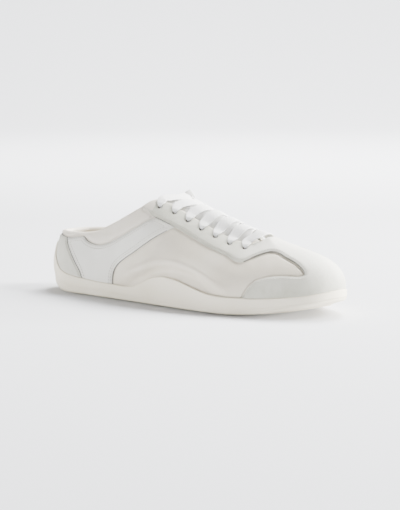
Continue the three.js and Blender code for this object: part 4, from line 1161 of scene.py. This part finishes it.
# Stitching
# Polyester thread in the colour of the piece it holds: two rows along the quarters' front edge, one
# row by the counter, the toe cap and the eyestays.
THREAD, THREAD_LONG, THREAD_PITCH, THREAD_LIFT, THREAD_ROUND = 0.42, 1.75, 2.3, 0.1, 6
SEWN_TO = 2.4  # above the panel's foot
stitch_points, stitch_faces = [], []


def chains(pairs):
    """Joins pairs of points into runs."""
    links_of = {}
    for a, b in pairs.tolist():
        links_of.setdefault(a, []).append(b)
        links_of.setdefault(b, []).append(a)
    seen, runs = set(), []
    starts = [p for p, near in links_of.items() if len(near) == 1] + list(links_of)
    for start in starts:
        if start in seen:
            continue
        run = [start]
        seen.add(start)
        while True:
            ahead = [p for p in links_of[run[-1]] if p not in seen]
            if not ahead:
                break
            run.append(ahead[0])
            seen.add(ahead[0])
        if len(run) > 3:
            runs.append(run)
    return runs


def seam_runs(made, inset):
    """The lines on a panel at a distance from its edge, as points and directions out."""
    _, placed, outs, triangles, fields = made
    packed = np.column_stack([fields[:, 0], placed, outs, fields[:, 2]])
    _, rows, _, cuts = split_at(placed, packed, triangles, inset)
    runs = []
    for chain in chains(cuts):
        clear = rows[chain, 7] > SEWN_TO
        for part in np.split(np.array(chain), np.nonzero(clear[1:] != clear[:-1])[0] + 1):
            if len(part) > 6 and rows[part[0], 7] > SEWN_TO:
                runs.append((rows[part, 1:4], rows[part, 4:7]))
    return runs


def stitch(line, out):
    """Short tight threads along a run, each a little arch whose ends go into the material."""
    line = soften(line.copy(), 4)
    total = reach_along(line)
    number = int(total[-1] / THREAD_PITCH)
    stations = np.linspace(-1, 1, 7)
    arching = (1 - stations**2) * THREAD * 0.5 - stations**4 * THREAD * 0.7 + THREAD_LIFT
    radii = THREAD / 2 * (1 - 0.35 * stations**4)
    for i in range(number if number > 1 else 0):
        offs = (i + 0.5) * total[-1] / number + stations * THREAD_LONG / 2
        centre = np.column_stack([np.interp(offs, total, line[:, k]) for k in range(3)])
        normal = unit(np.column_stack([np.interp(offs, total, out[:, k]) for k in range(3)]))
        run = np.gradient(centre, axis=0)
        run /= np.maximum(1e-9, np.linalg.norm(run, axis=1))[:, None]
        wide = np.cross(normal, run)
        centre = centre + normal * arching[:, None]
        stitch_faces.extend(tube_faces(len(stitch_points), len(stations), THREAD_ROUND))
        for c, n, across, radius in zip(centre, normal, wide, radii):
            for a in np.linspace(0, 2 * math.pi, THREAD_ROUND, endpoint=False):
                stitch_points.append(c + across * (radius * math.cos(a)) + n * (radius * math.sin(a)))


for made, inset in ((toe_made, 1.7), (quarter_made, 1.6), (quarter_made, 3.4), (counter_made, 1.7)):
    for line, out in seam_runs(made, inset):
        stitch(line, out)
thread = Material("polyester_thread", colour(203, 199, 188), 0.6)
thread.join(Normal=thread.bump(0.4, 0.0001, thread.noise(3000.0)))
thread_piece = mesh_object("stitching", stitch_points, stitch_faces, [thread])
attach(thread_piece, "root")
